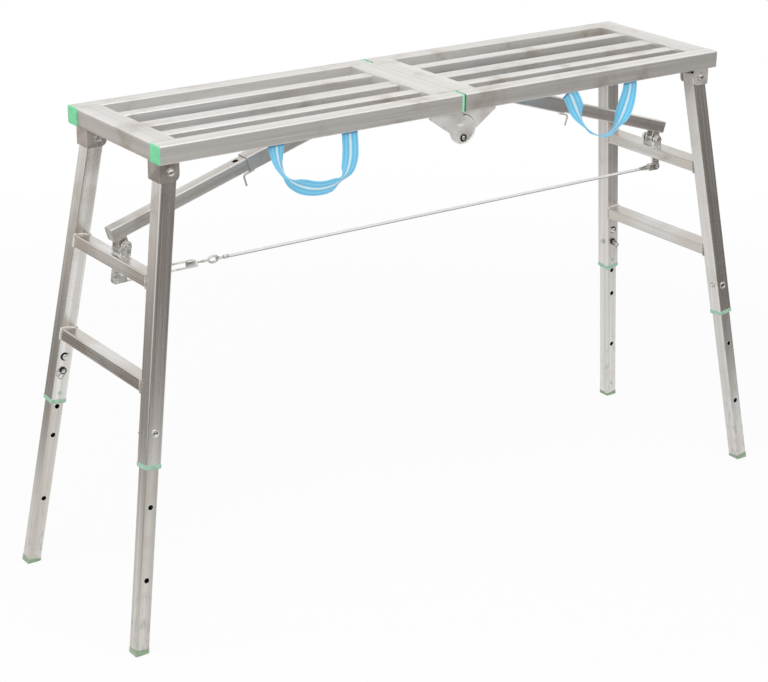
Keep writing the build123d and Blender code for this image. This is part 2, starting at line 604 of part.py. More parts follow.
def fork():
    """Adds the left fork of the tie to the current part: two cheeks, a bridge and a pin."""
    for cheek_side in (FORK_INSIDE, -FORK_INSIDE - FORK_PLATE):
        with BuildSketch(Plane.XZ.offset(cheek_side)) as cheek_outline:
            with Locations((TIE_LUG.X, TIE_Z)):
                Circle(FORK_ROUND)
            with Locations((TIE_LUG.X + FORK_LENGTH / 2, TIE_Z)):
                Rectangle(FORK_LENGTH, 2 * FORK_ROUND)
        extrude(cheek_outline.sketch, amount=FORK_PLATE)
    with BuildSketch(Plane.XZ.offset(-FORK_INSIDE - FORK_PLATE)) as bridge_outline:
        with Locations((TIE_LUG.X + FORK_LENGTH - FORK_BRIDGE / 2, TIE_Z)):
            Rectangle(FORK_BRIDGE, 2 * FORK_ROUND)
    extrude(bridge_outline.sketch, amount=2 * (FORK_INSIDE + FORK_PLATE))
    pin_reach = FORK_INSIDE + FORK_PLATE
    rod_along_y(TIE_LUG.X, TIE_Z, TIE_PIN_RADIUS - PIN_FIT, -pin_reach, pin_reach)


# Turnbuckle at the left end of the tie: a fork, two rods, a nut and an eye
with BuildPart() as turnbuckle:
    fork()
    rods_start = TIE_LUG.X + FORK_LENGTH - FORK_BRIDGE / 2
    nut_start = TIE_LUG.X + TURNBUCKLE_LENGTH - TURNBUCKLE_NUT
    with BuildSketch(Plane.YZ.offset(rods_start)):
        with Locations((0, TIE_Z - TURNBUCKLE_SPREAD / 2), (0, TIE_Z + TURNBUCKLE_SPREAD / 2)):
            Circle(TURNBUCKLE_ROD)
    extrude(amount=nut_start - rods_start + TURNBUCKLE_NUT / 2)
    with BuildSketch(Plane.YZ.offset(nut_start)):
        with Locations((0, TIE_Z)):
            nut_height = TURNBUCKLE_SPREAD + 4 * TURNBUCKLE_ROD
            RectangleRounded(2 * FORK_INSIDE + FORK_PLATE, nut_height, TURNBUCKLE_ROD)
    extrude(amount=TURNBUCKLE_NUT)
    with BuildSketch(Plane.YZ.offset(nut_start)):
        with Locations((0, TIE_Z)):
            Circle(TURNBUCKLE_ROD)
    extrude(amount=TIE_LUG.X + EYE_PLACE - EYE_RADIUS - nut_start)
    with Locations((TIE_LUG.X + EYE_PLACE, 0, TIE_Z)):
        Torus(EYE_RADIUS, EYE_WIRE, rotation=(90, 0, 0))
save(turnbuckle, "tie_turnbuckle")


def rope(start, end):
    """Adds a straight stretch of the tie's rope to the current part."""
    with BuildSketch(Plane.YZ.offset(start)) as outline:
        with Locations((0, TIE_Z)):
            Circle(ROPE_RADIUS)
    extrude(outline.sketch, amount=end - start)


# Rope of the tie: a middle stretch and a stretch beside each end, pulled straight
with BuildPart() as rope_link:
    rope(LINK_START + ROPE_GAP, LINK_END)
save(rope_link, "tie_rope_left")
save_copy(rope_link, "tie_rope_right", Plane.YZ)

with BuildPart() as rope_middle:
    rope(LINK_END + ROPE_GAP, -LINK_END - ROPE_GAP)
save(rope_middle, "tie_rope_middle")

# Right end of the tie: a fork with a cone that holds the rope, drawn on the left and mirrored
with BuildPart() as left_terminal:
    fork()
    cone_start = TIE_LUG.X + FORK_LENGTH
    with BuildSketch(Plane.YZ.offset(cone_start)):
        with Locations((0, TIE_Z)):
            Circle(CONE_RADIUS)
    with BuildSketch(Plane.YZ.offset(cone_start + CONE_LENGTH)):
        with Locations((0, TIE_Z)):
            Circle(ROPE_RADIUS)
    loft()
    rope(cone_start + CONE_LENGTH, LINK_START)
save_copy(left_terminal, "tie_terminal", Plane.YZ)


def roll_at(share, rolls):
    """The band's roll in degrees at a share of its line, on straight runs between the given angles."""
    for (start, low), (end, high) in zip(rolls, rolls[1:]):
        if share <= end:
            return low + (high - low) * (share - start) / (end - start)


def strap_section(line, share, rolls):
    """The plane of the band's cross section at a share of its line; both ends are level."""
    place = line.position_at(share, position_mode=PositionMode.PARAMETER)
    along = line.tangent_at(share, position_mode=PositionMode.PARAMETER)
    if share in (0, 1):
        along = Vector(0, 0, along.Z).normalized()
    across = Vector(-along.Z, 0, along.X)
    roll = radians(roll_at(share, rolls))
    width_way = across * cos(roll) + Vector(0, 1, 0) * sin(roll)
    return Plane(origin=place, x_dir=width_way, z_dir=along)


# Webbing straps under the front rails, hanging in a twisted loop
STRAPS = {
    "left_strap": (LEFT_STRAP_LINE, LEFT_STRAP_ROLL),
    "right_strap": (RIGHT_STRAP_LINE, RIGHT_STRAP_ROLL),
}
for strap_name, (strap_points, strap_rolls) in STRAPS.items():
    with BuildPart() as strap:
        strap_top = UNDERSIDE - STRAP_TOP_GAP
        with BuildLine() as strap_line:
            Bezier(*[(x, -STRAP_SIDE, strap_top - drop) for x, drop in strap_points])
        for station in range(STRAP_SECTIONS):
            share = station / (STRAP_SECTIONS - 1)
            with BuildSketch(strap_section(strap_line.edge(), share, strap_rolls)):
                Rectangle(STRAP_WIDTH, STRAP_THICKNESS)
        loft(ruled=True)
    save(strap, strap_name)
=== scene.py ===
# %% [markdown]
# # A folding work platform
# A light steel platform to stand on: two deck halves hinged in the middle, on two splayed leg frames
# with telescopic feet. The imported parts already stand where they belong, in metres, so every new piece
# below is worked out from their places, and each one but the middle rope and the straps rides on the part
# that carries it.

# %% Load the parts
import json
from math import comb

import bmesh
import bpy
import numpy as np
from mathutils import Matrix, Vector


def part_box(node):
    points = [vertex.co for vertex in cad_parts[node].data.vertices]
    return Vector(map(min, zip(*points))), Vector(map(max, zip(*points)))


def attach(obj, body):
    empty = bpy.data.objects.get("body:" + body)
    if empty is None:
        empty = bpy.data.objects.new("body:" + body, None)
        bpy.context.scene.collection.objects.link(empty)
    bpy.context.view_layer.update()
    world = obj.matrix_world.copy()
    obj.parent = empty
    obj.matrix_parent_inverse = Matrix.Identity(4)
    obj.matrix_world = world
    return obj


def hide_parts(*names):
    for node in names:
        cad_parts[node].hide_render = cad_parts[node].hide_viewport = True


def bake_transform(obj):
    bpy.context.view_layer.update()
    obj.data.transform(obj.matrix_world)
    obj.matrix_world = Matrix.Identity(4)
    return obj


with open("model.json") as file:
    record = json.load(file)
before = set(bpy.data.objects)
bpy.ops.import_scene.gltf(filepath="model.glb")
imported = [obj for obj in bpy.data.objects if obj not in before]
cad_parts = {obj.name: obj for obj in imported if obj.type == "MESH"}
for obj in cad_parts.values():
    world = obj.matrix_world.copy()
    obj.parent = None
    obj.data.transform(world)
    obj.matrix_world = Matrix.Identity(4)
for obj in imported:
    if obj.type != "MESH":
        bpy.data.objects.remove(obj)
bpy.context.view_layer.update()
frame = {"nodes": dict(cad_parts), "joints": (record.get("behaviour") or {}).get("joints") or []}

nodes = frame["nodes"]
joints = {joint["name"]: joint for joint in frame["joints"]}

# %% [markdown]
# ## Camera
# A product picture is taken with a long lens from a little above the deck. The camera's three directions
# come from a heading, a tilt and a small roll. Writing them as a matrix is steadier than aiming with a
# constraint, because nothing has to be evaluated first.

# %% Camera
HEADING = np.radians(36.161)
TILT = np.radians(21.408)
ROLL = np.radians(0.794)
STATION = Vector((-2.6702, -3.6268, 2.2058))
LENS_MM = 93.82
SENSOR_MM = 36.0
FRAMING = (-0.0229, -0.0006)

forward = Vector((np.cos(TILT) * np.sin(HEADING), np.cos(TILT) * np.cos(HEADING), -np.sin(TILT)))
level = Vector((np.cos(HEADING), -np.sin(HEADING), 0.0))
upright = level.cross(forward)
to_right = level * np.cos(ROLL) + upright * np.sin(ROLL)
to_top = upright * np.cos(ROLL) - level * np.sin(ROLL)
turned = Matrix((to_right, to_top, -forward)).transposed().to_4x4()

camera = bpy.data.objects.new("camera", bpy.data.cameras.new("camera"))
camera.data.lens = LENS_MM
camera.data.sensor_width = SENSOR_MM
camera.data.shift_x, camera.data.shift_y = FRAMING
camera.matrix_world = Matrix.Translation(STATION) @ turned
bpy.context.scene.collection.objects.link(camera)
bpy.context.scene.camera = camera
print("camera looks along", [round(x, 3) for x in forward])

# %% [markdown]
# ## Node helpers
# Materials, the world and the floor are all node trees. A few small helpers keep the later cells short:
# they add a node with its inputs, mix colours or shaders by a mask, stretch a value from one range to
# another and do one step of arithmetic.

# %% Node helpers
# The Mix node's sockets when it mixes colours.
MIX_FACTOR, MIX_FIRST, MIX_SECOND, MIX_COLOUR = 0, 6, 7, 2


def connect(tree, socket, value):
    """Links a socket to another node's output, or sets its plain value."""
    if isinstance(value, bpy.types.NodeSocket):
        tree.links.new(value, socket)
    else:
        socket.default_value = value


def add_node(tree, kind, inputs=None, **settings):
    """Adds a node, with its settings as attributes and its inputs by name or number."""
    made = tree.nodes.new(kind)
    for name, value in settings.items():
        setattr(made, name, value)
    for name, value in (inputs or {}).items():
        connect(tree, made.inputs[name], value)
    return made


def mix_colours(tree, share, first, second):
    """The first colour where the share is 0 and the second where it is 1."""
    made = add_node(tree, "ShaderNodeMix", {MIX_FACTOR: share, MIX_FIRST: first, MIX_SECOND: second},
                    data_type="RGBA")
    return made.outputs[MIX_COLOUR]


def mix_shaders(tree, share, first, second):
    """The first shader where the share is 0 and the second where it is 1."""
    return add_node(tree, "ShaderNodeMixShader", {0: share, 1: first.outputs[0], 2: second.outputs[0]})


def stretch(tree, value, from_low, from_high, to_low=0.0, to_high=1.0):
    """Carries a value smoothly from one range to another, and holds it at the ends."""
    ranges = {"From Min": from_low, "From Max": from_high, "To Min": to_low, "To Max": to_high}
    made = add_node(tree, "ShaderNodeMapRange", {"Value": value, **ranges},
                    interpolation_type="SMOOTHSTEP")
    return made.outputs["Result"]


def calculate(tree, operation, first, second=0.0):
    """One step of arithmetic on values that change over the surface."""
    return add_node(tree, "ShaderNodeMath", {0: first, 1: second}, operation=operation).outputs[0]


def calculate_vector(tree, operation, first, second=(0.0, 0.0, 0.0)):
    """One step of arithmetic on vectors. A length or a dot product is the output Value."""
    return add_node(tree, "ShaderNodeVectorMath", {0: first, 1: second}, operation=operation).outputs


def split(tree, vector):
    """The X, Y and Z of a vector as three values."""
    return add_node(tree, "ShaderNodeSeparateXYZ", {0: vector}).outputs


print("helpers ready")

# %% [markdown]
# ## Light and background
# Brushed steel shows what stands round it, so the surroundings matter as much as the lamps. The background
# is white because the world answers white to the camera and to reflections, and it gives a softer fill to
# everything else. A soft box above and one at the left light what isn't metal.

# %% Light and background
WHITE = (1.0, 1.0, 1.0, 1.0)
SOFT_FILL = 0.7
DECK_MIDDLE = Vector((0.0, 0.0, 1.0))
# Place, width, height and power of each soft box.
SOFTBOXES = {"softbox_above": ((-0.6, -1.4, 3.6), 3.4, 2.4, 42.0),
             "softbox_left": ((-3.6, 0.6, 2.0), 2.0, 2.0, 18.0)}


def rays_that_see(tree):
    """1 for rays from the camera, from gloss and through glass, 0 for rays that only gather light."""
    ray = add_node(tree, "ShaderNodeLightPath").outputs
    seen = calculate(tree, "MAXIMUM", ray["Is Camera Ray"], ray["Is Glossy Ray"])
    return calculate(tree, "MAXIMUM", seen, ray["Is Transmission Ray"])


def softbox(name, place, width, height, power):
    """A rectangular lamp at a place, turned towards the middle of the deck."""
    lamp = bpy.data.lights.new(name, "AREA")
    lamp.shape = "RECTANGLE"
    lamp.size = width
    lamp.size_y = height
    lamp.energy = power
    stand = bpy.data.objects.new(name, lamp)
    aim = (DECK_MIDDLE - Vector(place)).to_track_quat("-Z", "Y")
    stand.matrix_world = Matrix.Translation(Vector(place)) @ aim.to_matrix().to_4x4()
    stand.visible_camera = False
    bpy.context.scene.collection.objects.link(stand)


bpy.context.scene.view_settings.view_transform = "Standard"
world = bpy.data.worlds.new("studio")
world.use_nodes = True
bpy.context.scene.world = world
tree = world.node_tree
tree.nodes.clear()
fill = add_node(tree, "ShaderNodeBackground", {"Color": WHITE, "Strength": SOFT_FILL})
backdrop = add_node(tree, "ShaderNodeBackground", {"Color": WHITE, "Strength": 1.0})
sky = mix_shaders(tree, rays_that_see(tree), fill, backdrop)
add_node(tree, "ShaderNodeOutputWorld", {"Surface": sky.outputs[0]})
for name, lamp in SOFTBOXES.items():
    softbox(name, *lamp)
print("lamps:", list(SOFTBOXES))

# %% [markdown]
# ## Floor
# The floor is a pale sheet that catches a faint shadow and fades out towards its rim. It is a disc of rings
# and spokes. The function that makes it also leaves a hole in the middle when it is asked to, because the
# boards of the next step are the same kind of ring.

# %% Floor
FLOOR_RADIUS = 3.2
FLOOR_FADE = 1.5
FLOOR_TONE = (0.93, 0.93, 0.925, 1.0)
FLOOR_GLOW = 0.88
RINGS, SPOKES = 25, 96


def grid_quads(rows, columns):
    """Four-sided faces between neighbouring points; the last column joins the first."""
    row = np.arange(rows - 1)[:, None] * columns
    column = np.arange(columns)[None, :]
    after = (column + 1) % columns
    corners = [row + column, row + after, row + columns + after, row + columns + column]
    return np.stack(corners, -1).reshape(-1, 4)


def ground_ring(name, inner, outer, rise):
    """Stage piece between two radii: (r cos t, r sin t, rise(r, t)) on a grid of radius and turn."""
    t = np.linspace(0.0, 2 * np.pi, SPOKES, endpoint=False)
    radius = np.linspace(inner, outer, RINGS)[:, None]
    points = np.stack([radius * np.cos(t), radius * np.sin(t), rise(radius, t)], -1).reshape(-1, 3)
    facing_up = grid_quads(RINGS, SPOKES)[:, [0, 3, 2, 1]]
    mesh = bpy.data.meshes.new(name)
    mesh.from_pydata(points.tolist(), [], facing_up.tolist())
    made = bpy.data.objects.new(name, mesh)
    bpy.context.scene.collection.objects.link(made)
    paint = bpy.data.materials.new(name)
    paint.use_nodes = True
    paint.node_tree.nodes.clear()
    mesh.materials.append(paint)
    return made, paint.node_tree, add_node(paint.node_tree, "ShaderNodeTexCoord").outputs["Object"]


_, tree, place = ground_ring("floor", 0.0, FLOOR_RADIUS, lambda r, t: 0 * r * t)
distance = calculate_vector(tree, "LENGTH", place)["Value"]
gone = stretch(tree, distance, FLOOR_FADE, FLOOR_RADIUS)
matt = add_node(tree, "ShaderNodeBsdfDiffuse", {"Color": FLOOR_TONE})
glow = add_node(tree, "ShaderNodeEmission", {"Color": WHITE, "Strength": 1.0})
lit = calculate(tree, "MULTIPLY", rays_that_see(tree), FLOOR_GLOW)
paper = mix_shaders(tree, lit, matt, glow)
clear = add_node(tree, "ShaderNodeBsdfTransparent")
add_node(tree, "ShaderNodeOutputMaterial", {"Surface": mix_shaders(tree, gone, paper, clear).outputs[0]})
print("floor radius:", FLOOR_RADIUS)

# %% [markdown]
# ## Dark boards round the floor
# In front of a white sheet there is always the darker room, and metal shows it: faces that lean up mirror
# the room, and faces that lean down mirror the sheet. Dark boards round the sheet do the same here. They
# lie on the ground and rise to a wall at the front. Only reflections see them, and they are darkest at the
# front right and paler at the back left.

# %% Dark boards round the floor
BOARD_START = 1.3
BOARD_FULL = 2.3
BOARD_FAR = 3.2
BOARD_END = 7.0
BOARD_LEVEL = 0.002
WALL_START = 4.0
WALL_HEIGHT = 1.2
FRONT_TONE = 0.2
REAR_TONE = 0.25
FAR_TONE = 0.85
DARK_SIDE = (0.62, -0.78, 0.0)
DARK_SPAN = (-0.2, 0.6)
ROOM_TINT = (1.0, 0.91, 0.84, 1.0)


def board_rise(r, t):
    """Ground level, then the square of (r - start) / (end - start), faded out away from the dark side."""
    towards = np.clip(DARK_SIDE[0] * np.cos(t) + DARK_SIDE[1] * np.sin(t), 0, 1)
    outwards = np.clip((r - WALL_START) / (BOARD_END - WALL_START), 0, 1)
    return BOARD_LEVEL + WALL_HEIGHT * towards * outwards ** 2


boards, tree, place = ground_ring("dark_boards", BOARD_START, BOARD_END, board_rise)
boards.visible_camera = False
boards.visible_diffuse = False
boards.visible_shadow = False
distance = calculate_vector(tree, "LENGTH", place)["Value"]
heading = calculate_vector(tree, "NORMALIZE", place)["Vector"]
facing = calculate_vector(tree, "DOT_PRODUCT", heading, DARK_SIDE)["Value"]
rear = stretch(tree, distance, BOARD_FAR, BOARD_END, REAR_TONE, FAR_TONE)
tone = stretch(tree, facing, *DARK_SPAN, rear, FRONT_TONE)
board = add_node(tree, "ShaderNodeEmission", {"Color": ROOM_TINT, "Strength": tone})
clear = add_node(tree, "ShaderNodeBsdfTransparent")
edge = stretch(tree, distance, BOARD_START, BOARD_FULL)
add_node(tree, "ShaderNodeOutputMaterial", {"Surface": mix_shaders(tree, edge, clear, board).outputs[0]})
print("boards from", BOARD_START, "to", BOARD_END)

# %% [markdown]
# ## Effects that several finishes share
# Brushing, stains and speckle come back in many materials, so each is a node group that puts out plain
# masks between 0 and 1. The material that uses a group decides what the mask means: a colour, a roughness
# or a height for the bump.

# %% Effects that several finishes share
VECTOR, FLOAT = "NodeSocketVector", "NodeSocketFloat"
BROAD_LINES = 0.14
BROAD_SPECKLE = 0.06
STAIN_FULL = 0.75


def new_effect(name, inputs, outputs):
    """An empty node group with named inputs (name, kind, start value) and value outputs."""
    group = bpy.data.node_groups.new(name, "ShaderNodeTree")
    for label, kind, start in inputs:
        socket = group.interface.new_socket(label, in_out="INPUT", socket_type=kind)
        if start is not None:
            socket.default_value = start
    for label in outputs:
        group.interface.new_socket(label, in_out="OUTPUT", socket_type=FLOAT)
    return group, group.nodes.new("NodeGroupInput").outputs, group.nodes.new("NodeGroupOutput").inputs


def use_effect(tree, effect, **inputs):
    """Places a shared effect in a material, with its own values."""
    return add_node(tree, "ShaderNodeGroup", inputs, node_tree=effect).outputs


def noise(tree, vector, scale, **more):
    """Cloudy values between 0 and 1, so many to the metre."""
    return add_node(tree, "ShaderNodeTexNoise", {"Vector": vector, "Scale": scale, **more}).outputs["Fac"]


brushing, given, result = new_effect(
    "brushing", [("Vector", VECTOR, None), ("Lines", FLOAT, 400.0), ("Run", FLOAT, 2.0)], ["Fine", "Broad"])
scale = add_node(brushing, "ShaderNodeCombineXYZ", {0: given["Lines"], 1: given["Lines"], 2: given["Run"]})
drawn = calculate_vector(brushing, "MULTIPLY", given["Vector"], scale.outputs[0])[0]
connect(brushing, result["Fine"], noise(brushing, drawn, 1.0, Detail=3.0))
connect(brushing, result["Broad"], noise(brushing, drawn, BROAD_LINES, Detail=4.0))

stains, given, result = new_effect(
    "stains", [("Vector", VECTOR, None), ("Size", FLOAT, 0.1), ("Start", FLOAT, 0.5)], ["Mask"])
times = calculate(stains, "DIVIDE", 1.0, given["Size"])
cloud = noise(stains, given["Vector"], times, Detail=6.0, Roughness=0.62)
connect(stains, result["Mask"], stretch(stains, cloud, given["Start"], STAIN_FULL))

speckle, given, result = new_effect(
    "speckle", [("Vector", VECTOR, None), ("Grain", FLOAT, 700.0)], ["Fine", "Broad"])
slow = calculate(speckle, "MULTIPLY", given["Grain"], BROAD_SPECKLE)
connect(speckle, result["Fine"], noise(speckle, given["Vector"], given["Grain"]))
connect(speckle, result["Broad"], noise(speckle, given["Vector"], slow, Detail=4.0))
print("effects:", [group.name for group in bpy.data.node_groups])

# %% [markdown]
# ## Brushed steel
# The rails, rungs, legs and braces are welded from drawn steel tube, ground along its length. The grinding
# leaves fine lines along each tube, so the pattern has to turn with it: one function makes the finish for a
# given direction, with the brushing's own axis laid along the tube by a Mapping node.

# %% Brushed steel
STEEL_LIGHT = (0.79, 0.772, 0.748, 1.0)
STEEL_DARK = (0.62, 0.60, 0.575, 1.0)
STEEL_WARM = (0.56, 0.52, 0.47, 1.0)
LINES_TO_A_METRE = 520.0
RUNS_TO_A_METRE = 3.0
LINE_SPAN = (0.25, 0.75)
LINE_RELIEF = (0.05, 0.0003)
CLOUD_SPAN = (0.3, 0.7)
STAIN_SIZE = 0.11
HEAT_RAGGED = 0.04
HEAT_SHARE = 0.8
SCRAPED = (0.33, 0.325, 0.325, 1.0)
SCRAPE_SIZE = 0.011
SCRAPE_DRAWN = (1.0, 1.0, 0.4)
SCRAPE_SHARE = 0.8
GROUND = (0.2, 0.34)
UP = Vector((0.0, 0.0, 1.0))


def new_finish(name, metallic):
    """An empty material: its node tree, its shader and its Object coordinates."""
    finish = bpy.data.materials.new(name)
    finish.use_nodes = True
    tree = finish.node_tree
    shader = tree.nodes["Principled BSDF"]
    shader.inputs["Metallic"].default_value = metallic
    return finish, tree, shader, add_node(tree, "ShaderNodeTexCoord").outputs["Object"]


def coat(tree, shader, colour, roughness, height, strength, depth):
    """Gives the shader its colour, its roughness and, through a Bump node, its relief."""
    bump = add_node(tree, "ShaderNodeBump", {"Height": height, "Strength": strength, "Distance": depth})
    look = {"Base Color": colour, "Roughness": roughness, "Normal": bump.outputs["Normal"]}
    for name, value in look.items():
        connect(tree, shader.inputs[name], value)


def brushed_steel(name, direction, roughness=GROUND, light=STEEL_LIGHT, dark=STEEL_DARK,
                  heat=None, scuff=None):
    """Steel with grinding lines along one direction, faint stains and a fine ridge.

    Heat tints it between two distances from the middle, and scrapes fade out between two heights."""
    finish, tree, shader, place = new_finish(name, 1.0)
    lean = UP.rotation_difference(Vector(direction)).to_euler()
    drawn = add_node(tree, "ShaderNodeMapping", {"Vector": place, "Rotation": lean}, vector_type="TEXTURE")
    lines = use_effect(tree, brushing, Vector=drawn.outputs[0], Lines=LINES_TO_A_METRE, Run=RUNS_TO_A_METRE)
    marks = use_effect(tree, stains, Vector=place, Size=STAIN_SIZE)
    colour = mix_colours(tree, stretch(tree, lines["Broad"], *CLOUD_SPAN), dark, light)
    colour = mix_colours(tree, marks["Mask"], colour, STEEL_WARM)
    if heat:
        aside = calculate(tree, "ABSOLUTE", split(tree, place)["Y"])
        ragged = calculate(tree, "ADD", aside, calculate(tree, "MULTIPLY", lines["Broad"], HEAT_RAGGED))
        colour = mix_colours(tree, stretch(tree, ragged, *heat, 0.0, HEAT_SHARE), colour, STEEL_WARM)
    if scuff:
        drawn_out = calculate_vector(tree, "MULTIPLY", place, SCRAPE_DRAWN)[0]
        scrapes = use_effect(tree, stains, Vector=drawn_out, Size=SCRAPE_SIZE)
        low_down = stretch(tree, split(tree, place)["Z"], *scuff, SCRAPE_SHARE, 0.0)
        colour = mix_colours(tree, calculate(tree, "MULTIPLY", scrapes["Mask"], low_down), colour, SCRAPED)
    rough = stretch(tree, lines["Fine"], *LINE_SPAN, *roughness)
    coat(tree, shader, colour, rough, lines["Fine"], *LINE_RELIEF)
    return finish


print("ground steel roughness:", GROUND)

# %% [markdown]
# ## Tubes of the deck, the legs and the braces
# The deck has been walked on, so it is duller than the legs, and its end rails are a little shinier. The
# rungs are tinted by the heat of their welds, and the inner legs are scraped near the feet.

# %% Tubes of the deck, the legs and the braces
SIDES = {"left": -1, "right": 1}
ROWS = {"front": -1, "rear": 1}
LEGS = [(side, row) for side in SIDES for row in ROWS]
ALONG_DECK, ACROSS_DECK = (1, 0, 0), (0, 1, 0)
DECK_DARK = (0.69, 0.672, 0.648, 1.0)
# Roughness from the smooth lines to the rough ones.
WALKED_ON = (0.46, 0.62)
SLAT_TOP = (0.36, 0.52)
END_RAIL = (0.34, 0.48)
DULLER = (0.3, 0.46)
SLID_ON = (0.26, 0.44)
WELD_HEAT = (0.065, 0.14)
SCUFFED = (0.07, 0.25)
RUNG_TONES = {"left": (STEEL_LIGHT, STEEL_DARK),
              "right": ((0.68, 0.665, 0.645, 1.0), (0.56, 0.545, 0.52, 1.0))}
INNER_TONES = {"left": ((0.68, 0.655, 0.615, 1.0), (0.52, 0.49, 0.45, 1.0)),
               "right": ((0.74, 0.725, 0.705, 1.0), (0.58, 0.565, 0.54, 1.0))}

steel_along_x = brushed_steel("steel_along_x", ALONG_DECK, WALKED_ON, dark=DECK_DARK)
steel_across = brushed_steel("steel_across", ACROSS_DECK, WALKED_ON, dark=DECK_DARK)
steel_slat = brushed_steel("steel_slat", ALONG_DECK, SLAT_TOP, dark=DECK_DARK)
steel_end = brushed_steel("steel_end", ACROSS_DECK, END_RAIL, dark=DECK_DARK)
steel_rung = {side: brushed_steel(f"steel_rung_{side}", ACROSS_DECK, GROUND, *tones, heat=WELD_HEAT)
              for side, tones in RUNG_TONES.items()}
steel_brace = {side: brushed_steel(f"steel_brace_{side}", joints[f"brace_{side}_slide"]["axis"], DULLER)
               for side in SIDES}
steel_leg, steel_inner = {}, {}
for side, row in LEGS:
    along_leg = joints[f"{side}_{row}_leg_slide"]["axis"]
    roughness = DULLER if (side, row) == ("right", "rear") else GROUND
    steel_leg[side, row] = brushed_steel(f"steel_leg_{side}_{row}", along_leg, roughness)
    steel_inner[side, row] = brushed_steel(f"steel_inner_{side}_{row}", along_leg, SLID_ON,
                                           *INNER_TONES[side], scuff=SCUFFED)
print("steel finishes:", len(bpy.data.materials))

# %% [markdown]
# ## Plates, fittings and welds
# Plate steel is rolled, so it is cloudy and without lines. Bolts and fittings are bright zinc, and the
# clevises are dipped in it, which leaves a strong, fine sparkle. The weld beads are rougher than the tube.
# All of them are two tones with a speckle of one size or another.

# %% Plates, fittings and welds
ROLLED, PLATED, DIPPED = 420.0, 900.0, 4200.0
SPECKLE_DEPTH = 0.0003
# Light tone, dark tone, grains to the metre, roughness from and to, and strength of the relief.
METALS = {
    "plate_steel": ((0.78, 0.76, 0.735, 1), (0.63, 0.61, 0.585, 1), ROLLED, (0.46, 0.62), 0.1),
    "bracket_left": ((0.8, 0.77, 0.735, 1), (0.66, 0.63, 0.6, 1), ROLLED, (0.2, 0.34), 0.05),
    "bracket_right": ((0.86, 0.84, 0.815, 1), (0.74, 0.72, 0.7, 1), ROLLED, (0.5, 0.66), 0.08),
    "hinge_left": ((0.86, 0.845, 0.825, 1), (0.72, 0.7, 0.68, 1), ROLLED, (0.58, 0.76), 0.08),
    "hinge_right": ((0.93, 0.915, 0.895, 1), (0.82, 0.8, 0.78, 1), ROLLED, (0.58, 0.76), 0.08),
    "bright_zinc": ((0.8, 0.79, 0.76, 1), (0.55, 0.54, 0.51, 1), PLATED, (0.2, 0.4), 0.12),
    # Very light trim for the hinge rims and studs: a painted highlight.
    "bright_trim": ((0.97, 0.965, 0.95, 1), (0.86, 0.85, 0.83, 1), PLATED, (0.5, 0.66), 0.05),
    # Dark steel: the real colour of the hinge rings and eyelet dots, and painted shade for the rings at the
    # lock pins and stop bolts and the line along the hinge gap.
    "dark_steel": ((0.06, 0.055, 0.05, 1), (0.025, 0.024, 0.022, 1), PLATED, (0.3, 0.5), 0.12),
    "spring_wire": ((0.4, 0.39, 0.38, 1), (0.26, 0.25, 0.24, 1), PLATED, (0.25, 0.4), 0.1),
    "galvanised": ((0.95, 0.94, 0.915, 1), (0.5, 0.485, 0.465, 1), DIPPED, (0.24, 0.5), 0.2),
    "weld_metal": ((0.86, 0.845, 0.82, 1), (0.58, 0.56, 0.535, 1), DIPPED, (0.42, 0.66), 0.3),
}


def mottled_metal(name, light, dark, grain, roughness, relief):
    """A metal with broad and fine speckle between two tones."""
    finish, tree, shader, place = new_finish(name, 1.0)
    grains = use_effect(tree, speckle, Vector=place, Grain=grain)
    colour = mix_colours(tree, stretch(tree, grains["Broad"], *CLOUD_SPAN), dark, light)
    rough = stretch(tree, grains["Broad"], *CLOUD_SPAN, *roughness)
    coat(tree, shader, colour, rough, grains["Fine"], relief, SPECKLE_DEPTH)
    return finish


metals = {name: mottled_metal(name, *look) for name, look in METALS.items()}
print("metals:", list(metals))

# %% [markdown]
# ## Moulded plastics
# Plugs, collars and feet are moulded in different greens, with a fine grain from the mould. The rope's coat
# is the same kind of plastic in white. Its underside is darkened as painted shade, and because the rope
# bends when the platform folds, the painted shade follows a place that each point of the rope carries
# with it.

# %% Moulded plastics
MOULD_GRAIN = 1600.0
MOULD_RELIEF = (0.15, 0.0002)
# Grey of the painted shade on the rope's underside.
PAINTED_SHADE_GREY = (0.36, 0.355, 0.35, 1.0)
ROPE_SHADE_SPAN = (-0.0012, 0.0009)
# Light tone, dark tone, roughness from and to, and where the painted shade ends and the clean coat begins.
PLASTICS = {
    "plug_green": ((0.24, 0.76, 0.42, 1), (0.18, 0.66, 0.34, 1), (0.34, 0.5)),
    "collar_green": ((0.42, 0.66, 0.5, 1), (0.32, 0.54, 0.4, 1), (0.4, 0.55)),
    "foot_green": ((0.38, 0.48, 0.345, 1), (0.29, 0.385, 0.265, 1), (0.5, 0.7)),
    # The seam greens are the plug's green painted lighter and darker: a painted highlight and painted
    # shade.
    "seam_mint": ((0.42, 0.9, 0.6, 1), (0.34, 0.82, 0.5, 1), (0.34, 0.5)),
    "seam_green": ((0.05, 0.27, 0.14, 1), (0.035, 0.2, 0.1, 1), (0.4, 0.55)),
    "rope_coat": ((0.98, 0.98, 0.97, 1), (0.93, 0.93, 0.915, 1), (0.25, 0.4), ROPE_SHADE_SPAN),
}


